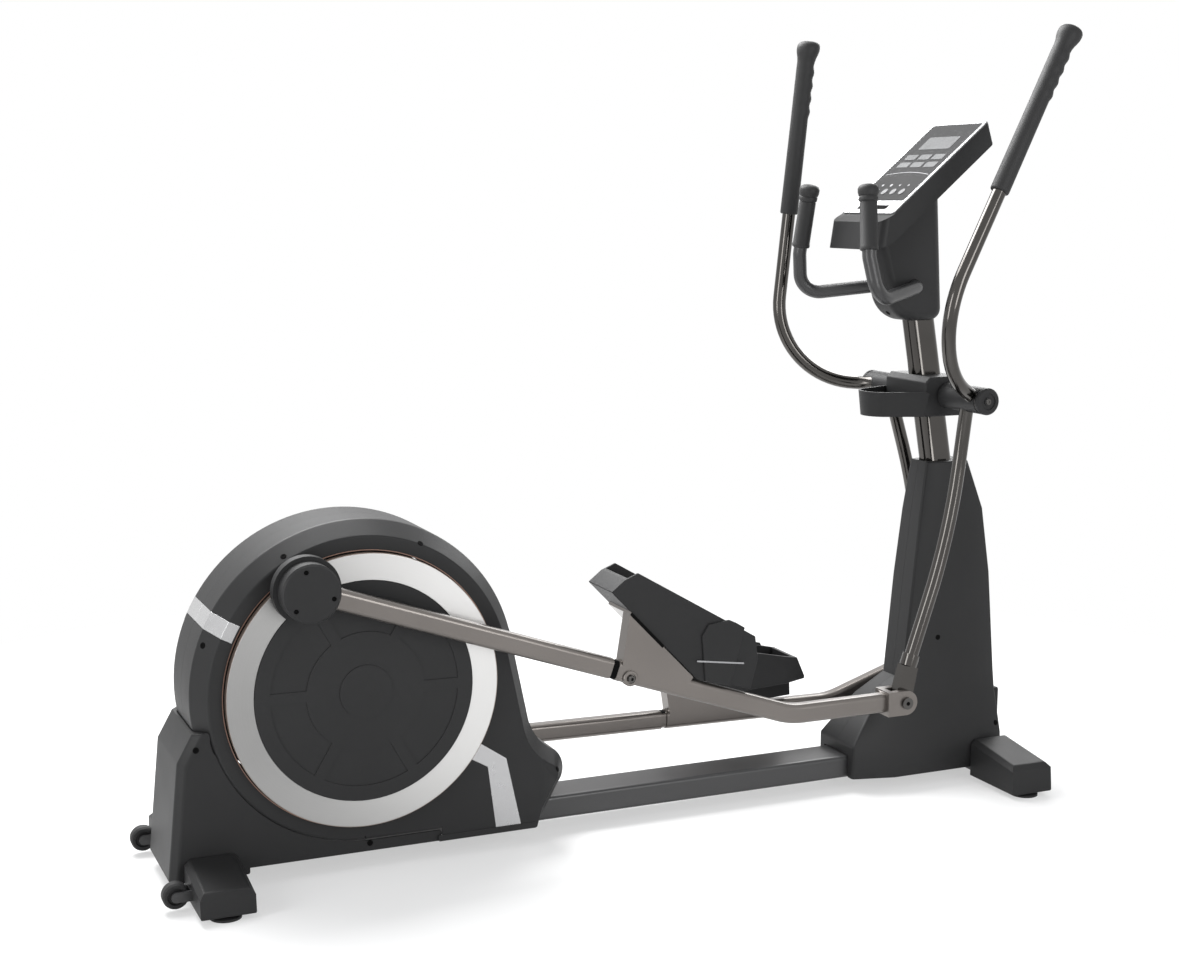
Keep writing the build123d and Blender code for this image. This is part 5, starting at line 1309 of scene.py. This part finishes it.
@dataclass
class ConsoleFace:
    """Windows, divider, key field and signs, laid out in metres up and across the console panel."""

    tilt: float = 40.0
    panel_thickness: float = 0.002
    window: Plate = Plate(0.118, 0.042, 0.004, 0.0004)
    window_up: float = 0.196
    cell: Plate = Plate(0.042, 0.017, 0.003, 0.0004)
    cell_rows: tuple[float, ...] = (0.122, 0.148)
    cell_columns: tuple[int, ...] = (-1, 0, 1)
    cell_pitch: float = 0.052
    divider_radius: float = 0.42
    divider_span: float = 23.0
    divider_up: float = 0.096
    divider_width: float = 0.0016
    divider_flatness: float = 0.3
    divider_steps: int = 24
    key_field: Plate = Plate(0.180, 0.080, 0.012, 0.00024)
    key_field_up: float = 0.0435
    signs: tuple[tuple[int, float], ...] = ((4, 45.0), (24, 0.0), (3, -30.0), (3, 30.0))
    sign_rings: tuple[Ring, ...] = (Ring(0.0, 0.0042), Ring(0.0004, 0.0042))
    sign_up: float = 0.052
    sign_pitch: float = 0.034
    slot_floor: Plate = Plate(0.117, 0.0125, 0.004, 0.0006)
    slot_up: float = -0.0225
    slot_lift: float = -0.0019

    def place(self, across: float, up: float, lift: float = 0.0) -> Matrix:
        """Find a place on the panel.

        Args:
            across: Distance from the middle to the user's right.
            up: Distance up the slope from the lower edge.
            lift: Height over the face.

        Returns:
            The place, with X to the user's right and Z off the face.
        """
        slope = math.radians(self.tilt)
        rise = Vector((math.cos(slope), 0.0, math.sin(slope)))
        normal = Vector((-math.sin(slope), 0.0, math.cos(slope)))
        right = Side.RIGHT.outwards
        low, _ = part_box("console_panel")
        edge = Vector((low.x, 0.0, low.z + self.panel_thickness * math.cos(slope)))
        return Gauge.standing(edge + right * across + rise * up + normal * lift, right, normal)

    def lay(self, piece: bpy.types.Object, place: Matrix, slot: Slot, finish: Finish) -> None:
        """Set a piece down on the panel and hand it over."""
        piece.matrix_world = place
        Bench.hand_over(piece, "frame", slot, finish=finish)

    def windows(self) -> None:
        """Large dot display and two rows of small windows."""
        main = self.window.model("main_window")
        main.matrix_world = self.place(0.0, self.window_up)
        steps = [column * self.cell_pitch for column in self.cell_columns]
        places = [self.place(across, up) for up in self.cell_rows for across in steps]
        cells = Bench.repeat(self.cell.model("cell_pattern"), places, "cell_windows")
        glass = Bench.join([main, cells], "console_windows")
        Bench.hand_over(glass, "frame", Slot.PANEL, finish=WINDOW_FINISH)

    def divider(self) -> bpy.types.Object:
        """Model the thin curved line between the display and the keys.

        Returns:
            The line, at its place.
        """
        Bench.clear()
        upright = (0.0, math.pi / 2.0, 0.0)
        bpy.ops.mesh.primitive_plane_add(size=self.divider_width, rotation=upright)
        line = Bench.started("panel_divider")
        bpy.ops.object.transform_apply(location=True, rotation=True, scale=True)
        half = math.radians(self.divider_span / 2.0)
        radius = self.divider_radius
        with Bench.editing(line):
            Bench.stretch(1.0, 1.0, self.divider_flatness)
            start = (-radius * math.sin(half), radius * (math.cos(half) - 1.0), 0.0)
            bpy.ops.transform.translate(value=start)
            arc = {"angle": 2.0 * half, "center": (0.0, -radius, 0.0), "axis": (0.0, 0.0, 1.0)}
            bpy.ops.mesh.spin(steps=self.divider_steps, **arc)
            Bench.close_up()
        line.matrix_world = self.place(0.0, self.divider_up)
        return line

    def print_signs(self) -> None:
        """Divider and one plain sign over each key: a square, a dot, and arrows down and up."""
        prints = [self.divider()]
        middle = (len(self.signs) - 1) / 2.0
        for key, (corners, turn) in enumerate(self.signs):
            sign = Bench.stack("key_sign", self.sign_rings, corners)
            spin = Matrix.Rotation(math.radians(turn), 4, "Z")
            sign.matrix_world = self.place((key - middle) * self.sign_pitch, self.sign_up) @ spin
            prints.append(sign)
        Bench.hand_over(Bench.join(prints, "panel_print"), "frame", Slot.PANEL, finish=PRINT_AND_HIGHLIGHT_FINISH)

    def build(self) -> None:
        """Model everything on the panel, and the dark floor of the reading ledge's slot."""
        self.windows()
        field = self.key_field.model("key_field")
        self.lay(field, self.place(0.0, self.key_field_up), Slot.PANEL, FIELD_FINISH)
        self.print_signs()
        floor = self.slot_floor.model("ledge_slot")
        self.lay(floor, self.place(0.0, self.slot_up, self.slot_lift), Slot.CONSOLE, SINK_AND_SHADE_FINISH)


@dataclass
class FixedGrips:
    """Sleeves and domed caps of the fixed handlebar; the profile holds shares of length and radius."""

    radius: float = 0.0190
    profile: tuple[Pair, ...] = (
        (0.0, 0.93),
        (0.01, 1.03),
        (0.05, 1.05),
        (0.06, 1.0),
        (0.72, 0.97),
        (0.735, 0.92),
        (0.75, 1.04),
        (0.80, 1.07),
        (0.815, 1.0),
        (0.83, 1.08),
        (0.88, 1.17),
        (0.93, 1.17),
        (0.97, 1.02),
        (0.99, 0.75),
        (1.0, 0.35),
    )
    corners: int = 32
    smooth_angle: float = 40.0

    def build(self) -> None:
        """Model both sleeves as one piece."""
        sleeves = []
        for side in Side:
            low, high = Gauge.axis("static_grips", side)
            length = (high - low).length
            rings = [Ring(length * share, self.radius * factor) for share, factor in self.profile]
            sleeve = Bench.stack(f"{side.word}_fixed_sleeve", rings, self.corners)
            sleeve.matrix_world = Gauge.upright(low, high)
            sleeves.append(sleeve)
        grips = Bench.join(sleeves, "fixed_grip_sleeves")
        Bench.smooth(grips, self.smooth_angle)
        Bench.hand_over(grips, "frame", Slot.GRIP, "static_grips")


@dataclass
class SwingHandle:
    """Moulded grip, pivot sleeve and pivot bolt of one swing arm.

    The lip holds heights and shares of the radius, the bulb's profile shares of its length and flare.
    """

    side: Side
    radius: float = 0.0203
    lip: tuple[Pair, ...] = ((0.0, 0.88), (0.0015, 0.97), (0.004, 1.0))
    waves: int = 4
    wave: float = 0.0030
    wave_steps: int = 6
    wave_from: float = 0.56
    wave_to: float = 0.86
    bulb: float = 0.0262
    bulb_lean: float = 0.0045
    bulb_profile: tuple[Pair, ...] = (
        (0.16, -0.05),
        (0.32, 0.22),
        (0.47, 0.66),
        (0.61, 0.95),
        (0.73, 1.0),
        (0.84, 0.84),
        (0.92, 0.38),
        (0.97, -0.35),
        (1.0, -1.5),
    )
    crown: Pair = (0.0003, 0.3)
    corners: int = 32
    smooth_angle: float = 50.0
    sleeve: Hoop = Hoop(0.0284, 0.1520, 0.0009, 0.1330, 48)
    bolt: SocketScrew = SocketScrew(0.0062, 0.0014, 0.0030)

    def rings(self, length: float) -> Iterator[Ring]:
        """Draw up the grip: lip, plain sleeve, finger waves towards the front and flared bulb.

        Args:
            length: Length of the grip.

        Returns:
            The rings from the lip up.
        """
        for height, share in self.lip:
            yield Ring(height, self.radius * share)
        steps = self.waves * self.wave_steps
        for step in range(steps + 1):
            along = length * (self.wave_from + (self.wave_to - self.wave_from) * step / steps)
            swell = self.wave * (1.0 - math.cos(math.tau * self.waves * step / steps)) / 2.0
            yield Ring(along, self.radius + (swell - self.wave / 2.0) / 2.0, swell / 2.0)
        foot = length * self.wave_to
        for share, flare in self.bulb_profile:
            radius = self.radius + (self.bulb - self.radius) * flare
            yield Ring(foot + (length - foot) * share, radius, self.bulb_lean * share)
        rise, share = self.crown
        yield Ring(length + rise, self.radius * share, self.bulb_lean)

    def build(self) -> None:
        """Model the grip, the sleeve over the pivot and the pivot bolt."""
        word, body = self.side.word, f"{self.side.word}_swing"
        low, high = Gauge.axis(f"{word}_swing_grip", self.side)
        grip = Bench.stack(f"{word}_grip_sleeve", self.rings((high - low).length), self.corners)
        grip.matrix_world = Gauge.upright(low, high)
        Bench.smooth(grip, self.smooth_angle)
        Bench.hand_over(grip, body, Slot.GRIP, f"{word}_swing_grip")
        cap = Gauge.centre(f"{word}_pivot_cap")
        sleeve = self.sleeve.model(f"{word}_pivot_sleeve", Vector((cap.x, 0.0, cap.z)), self.side)
        Bench.smooth(sleeve)
        Bench.hand_over(sleeve, body, Slot.COVER)
        cap.y = Gauge.outer_face(f"{word}_pivot_cap", self.side)
        bolt = self.bolt.model(f"{word}_pivot_bolt")
        bolt.matrix_world = Gauge.facing(cap, self.side.outwards)
        Bench.hand_over(bolt, body, Slot.STEEL)


@dataclass
class LinkFittings:
    """Small fittings of one link: splice band, a strip of painted shadow, a strip of painted highlight,
    screws, splice lug and its bolt.

    Places are in metres along the link from its hub, across it, and out from the centre plane.
    """

    side: Side
    tube_slope: float = -72.0 / 1100.0
    band: Plate = Plate(0.0300, 0.0380, 0.009, 0.0116)
    band_along: float = 0.6562
    # Black strip of painted shadow along the gap under the pedal's shelf.
    shelf_edge: Strip = Strip((0.664, 0.0760), (0.755, 0.0218), 0.185, 0.0062)
    # Grey strip of painted highlight along the pedal's ledge.
    pedal_ledge: Strip = Strip((0.838, 0.0056), (0.948, 0.0194), 0.187, 0.0032)
    lid_screw: SocketScrew = SocketScrew(0.0042, 0.0008, 0.0022)
    lid_screws: int = 3
    lid_ring: float = 0.0433
    lid_angle: float = 119.2
    lid_sink: float = 0.0002
    lug: tuple[Ring, ...] = (
        Ring(-0.010, 0.0165),
        Ring(0.0035, 0.0165),
        Ring(0.005, 0.0150),
        Ring(0.0052, 0.0105),
        Ring(0.0030, 0.0100),
        Ring(0.0032, 0.0001),
    )
    lug_place: Point = (0.698, -0.0535, 0.185)
    bolt: SocketScrew = SocketScrew(0.0085, 0.0060, 0.0045, 6)
    bolt_lift: float = 0.0028

    @property
    def body(self) -> str:
        """The CAD body that carries the fittings."""
        return f"{self.side.word}_link"

    def line(self) -> tuple[Vector, Vector, Vector]:
        """Read the link's line off its hub and its pin.

        Returns:
            The hub's centre, and the directions along and across the link.
        """
        hub = Gauge.centre(f"{self.side.word}_hub_cover")
        joint = Gauge.centre(f"{self.side.word}_link_pin")
        along = Vector((joint.x - hub.x, 0.0, joint.z - hub.z)).normalized()
        return hub, along, Vector((-along.z, 0.0, along.x))

    def place(self, along: float, across: float, out: float) -> Matrix:
        """Find a place on the link.

        Args:
            along: Distance along the link.
            across: Distance across it.
            out: Distance from the centre plane.

        Returns:
            The place, with Z outwards.
        """
        hub, run, rise = self.line()
        point = hub + run * along + rise * across
        point.y = out * self.side.value
        return Gauge.facing(point, self.side.outwards)

    def fit(
        self, piece: bpy.types.Object, place: Matrix, slot: Slot, finish: Finish | None = None
    ) -> None:
        """Set a fitting down at its place and hand it over."""
        piece.matrix_world = place
        Bench.hand_over(piece, self.body, slot, finish=finish)

    def fit_band(self) -> None:
        """Dark band round the splice of the link's two halves."""
        hub, along, across = self.line()
        run = (along + across * self.tube_slope).normalized()
        start = hub + run * self.band_along
        start.y = abs(Gauge.centre(f"{self.side.word}_link_rear").y) * self.side.value
        band = self.band.model(f"{self.side.word}_splice_band")
        self.fit(band, Gauge.standing(start, Side.LEFT.outwards, run), Slot.RUBBER, SINK_AND_SHADE_FINISH)

    def fit_strip(self, name: str, strip: Strip, slot: Slot, finish: Finish) -> None:
        """Lay a thin strip on an outer face.

        Args:
            name: Name of the strip, without its side.
            strip: Its ends and size.
            slot: Its material slot.
            finish: Its finish.
        """
        (start, foot), (end, head) = strip.start, strip.end
        length = math.hypot(end - start, head - foot)
        plate = Plate(length, strip.height, strip.height * strip.corner_share, strip.thickness)
        _, along, across = self.line()
        run = (along * (end - start) + across * (head - foot)).normalized()
        middle = self.place((start + end) / 2.0, (foot + head) / 2.0, strip.face).translation
        place = Gauge.standing(middle, run, self.side.outwards)
        self.fit(plate.model(f"{self.side.word}_{name}"), place, slot, finish)

    def fit_screws(self) -> None:
        """Screws round the hub's lid and the socket in the clevis pin's head, as one piece."""
        word = self.side.word
        lid = abs(Gauge.outer_face(f"{word}_hub_cover", self.side)) - self.lid_sink
        places = []
        for number in range(self.lid_screws):
            turn = math.radians(self.lid_angle) + math.tau * number / self.lid_screws
            places.append(self.place(self.lid_ring * math.cos(turn), self.lid_ring * math.sin(turn), lid))
        hub, _, _ = self.line()
        reach = Gauge.centre(f"{word}_link_pin") - hub
        head = abs(Gauge.outer_face(f"{word}_link_pin", self.side))
        places.append(self.place(math.hypot(reach.x, reach.z), 0.0, head))
        screws = Bench.repeat(self.lid_screw.model("lid_screw_pattern"), places, f"{word}_link_screws")
        Bench.hand_over(screws, self.body, Slot.STEEL, finish=SINK_AND_SHADE_FINISH)

    def build(self) -> None:
        """Model the fittings and let them ride on the link."""
        self.fit_band()
        # Painted shadow: a black strip along the gap under the shelf.
        self.fit_strip("shelf_edge", self.shelf_edge, Slot.RUBBER, SINK_AND_SHADE_FINISH)
        # Painted highlight: a grey strip along the pedal's ledge.
        self.fit_strip("pedal_ledge", self.pedal_ledge, Slot.PEDAL, PRINT_AND_HIGHLIGHT_FINISH)
        self.fit_screws()
        lug = Bench.stack(f"{self.side.word}_splice_lug", self.lug)
        Bench.smooth(lug)
        self.fit(lug, self.place(*self.lug_place), Slot.LINK)
        along, across, out = self.lug_place
        bolt = self.bolt.model(f"{self.side.word}_splice_bolt")
        self.fit(bolt, self.place(along, across, out + self.bolt_lift), Slot.STEEL)


# Studio


@dataclass(frozen=True)
class SoftBox:
    """Rectangular lamp: its place, the point that it faces, its width and height, and its watts."""

    name: str
    place: Point
    aim: Point
    size: Pair
    power: float

    def hang(self) -> None:
        """Add the lamp to the scene."""
        data = bpy.data.lights.new(self.name, "AREA")
        data.shape = "RECTANGLE"
        data.size, data.size_y = self.size
        data.energy = self.power
        lamp = bpy.data.objects.new(self.name, data)
        bpy.context.scene.collection.objects.link(lamp)
        lamp.location = self.place
        lamp.rotation_mode = "QUATERNION"
        lamp.rotation_quaternion = (Vector(self.aim) - Vector(self.place)).to_track_quat("-Z", "Y")


@dataclass
class Studio:
    """Camera of the photograph, pale floor, white surroundings and soft lamps."""

    eye: Point = (-1.554, -3.444, 1.316)
    yaw: float = 66.36
    pitch: float = -9.0
    roll: float = 0.15
    focal: float = 1824.1
    picture_width: float = 1179.0
    sensor: float = 36.0
    floor_size: float = 40.0
    floor_drop: float = 0.0005
    floor_colour: Colour = (0.88, 0.88, 0.88)
    floor_roughness: float = 0.9
    floor_glow: float = 0.5
    shadow_reach: float = 1.1
    shadow_fade: float = 0.8
    fill_colour: Colour = (0.96, 0.98, 1.0)
    fill: float = 0.45
    lamps: tuple[SoftBox, ...] = (
        SoftBox("overhead", (-0.6, 2.2, 3.9), (-0.2, 0.0, 0.4), (3.0, 3.0), 430.0),
        SoftBox("rear_box", (-3.8, -1.2, 1.4), (0.3, 0.0, 0.9), (1.3, 2.4), 60.0),
        SoftBox("front_box", (2.8, 2.2, 2.4), (0.2, 0.0, 0.8), (1.8, 1.8), 60.0),
        SoftBox("near_box", (1.2, -3.7, 1.5), (0.5, 0.0, 0.9), (1.2, 2.2), 50.0),
    )

    def camera(self) -> None:
        """Place the camera at the photograph's viewpoint."""
        data = bpy.data.cameras.new("viewpoint")
        data.sensor_fit = "HORIZONTAL"
        data.sensor_width = self.sensor
        data.lens = self.focal / self.picture_width * self.sensor
        camera = bpy.data.objects.new("viewpoint", data)
        bpy.context.scene.collection.objects.link(camera)
        turn, tip = math.radians(self.yaw), math.radians(self.pitch)
        look = Vector((math.cos(turn) * math.cos(tip), math.sin(turn) * math.cos(tip), math.sin(tip)))
        spin = Matrix.Rotation(math.radians(self.roll), 3, "Z").to_quaternion()
        camera.location = self.eye
        camera.rotation_mode = "QUATERNION"
        camera.rotation_quaternion = look.to_track_quat("-Z", "Y") @ spin
        bpy.context.scene.camera = camera

    def floor(self) -> None:
        """Pale floor that keeps the shadow and turns white to the camera away from the machine."""
        Bench.clear()
        bpy.ops.mesh.primitive_plane_add(size=self.floor_size, location=(0.0, 0.0, -self.floor_drop))
        ground = Bench.started("floor")
        shader = Shader("pale_floor")
        shader.feed(Base_Color=(*self.floor_colour, 1.0), Roughness=self.floor_roughness)
        along_x, along_y, _ = shader.axes(shader.place())
        reach = (along_x**2.0 + along_y**2.0) ** 0.5
        away = ((reach - self.shadow_reach) * self.shadow_fade).clamp()
        share = shader.seen() * (self.floor_glow + away * (1.0 - self.floor_glow))
        glow = shader.node("ShaderNodeEmission", {}, {"Color": WHITE, "Strength": 1.0})
        shader.show(shader.node("ShaderNodeMixShader", {}, {0: share, 1: shader.lit, 2: glow}))
        ground.data.materials.append(shader.material)

    def backdrop(self) -> None:
        """White surroundings for the camera and for mirrors, soft grey light for the object."""
        world = bpy.data.worlds.new("studio")
        bpy.context.scene.world = world
        world.use_nodes = True
        sky = Nodes(world.node_tree, "ShaderNodeOutputWorld")
        kind = "ShaderNodeBackground"
        soft = sky.node(kind, {}, {"Color": (*self.fill_colour, 1.0), "Strength": self.fill})
        white = sky.node(kind, {}, {"Color": WHITE, "Strength": 1.0})
        sky.show(sky.node("ShaderNodeMixShader", {}, {0: sky.seen(), 1: soft, 2: white}))

    def build(self) -> None:
        """Set up camera, floor, surroundings and lamps."""
        bpy.context.scene.view_settings.view_transform = "Standard"
        self.camera()
        self.floor()
        self.backdrop()
        for lamp in self.lamps:
            lamp.hang()


def main() -> None:
    """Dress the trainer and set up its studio."""
    logging.basicConfig(level=logging.INFO, format="%(name)s: %(message)s")
    for node, piece in frame["nodes"].items():
        Bench.paint(piece, FINISHES[NODE_SLOTS[node]])
    RoundedShells().build()
    CoverScrews().build()
    CrankHoops().build()
    SkirtBands().build()
    ConsoleFace().build()
    FixedGrips().build()
    for side in Side:
        SwingHandle(side).build()
        LinkFittings(side).build()
    Studio().build()
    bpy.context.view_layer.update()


if __name__ == "__main__":
    main()
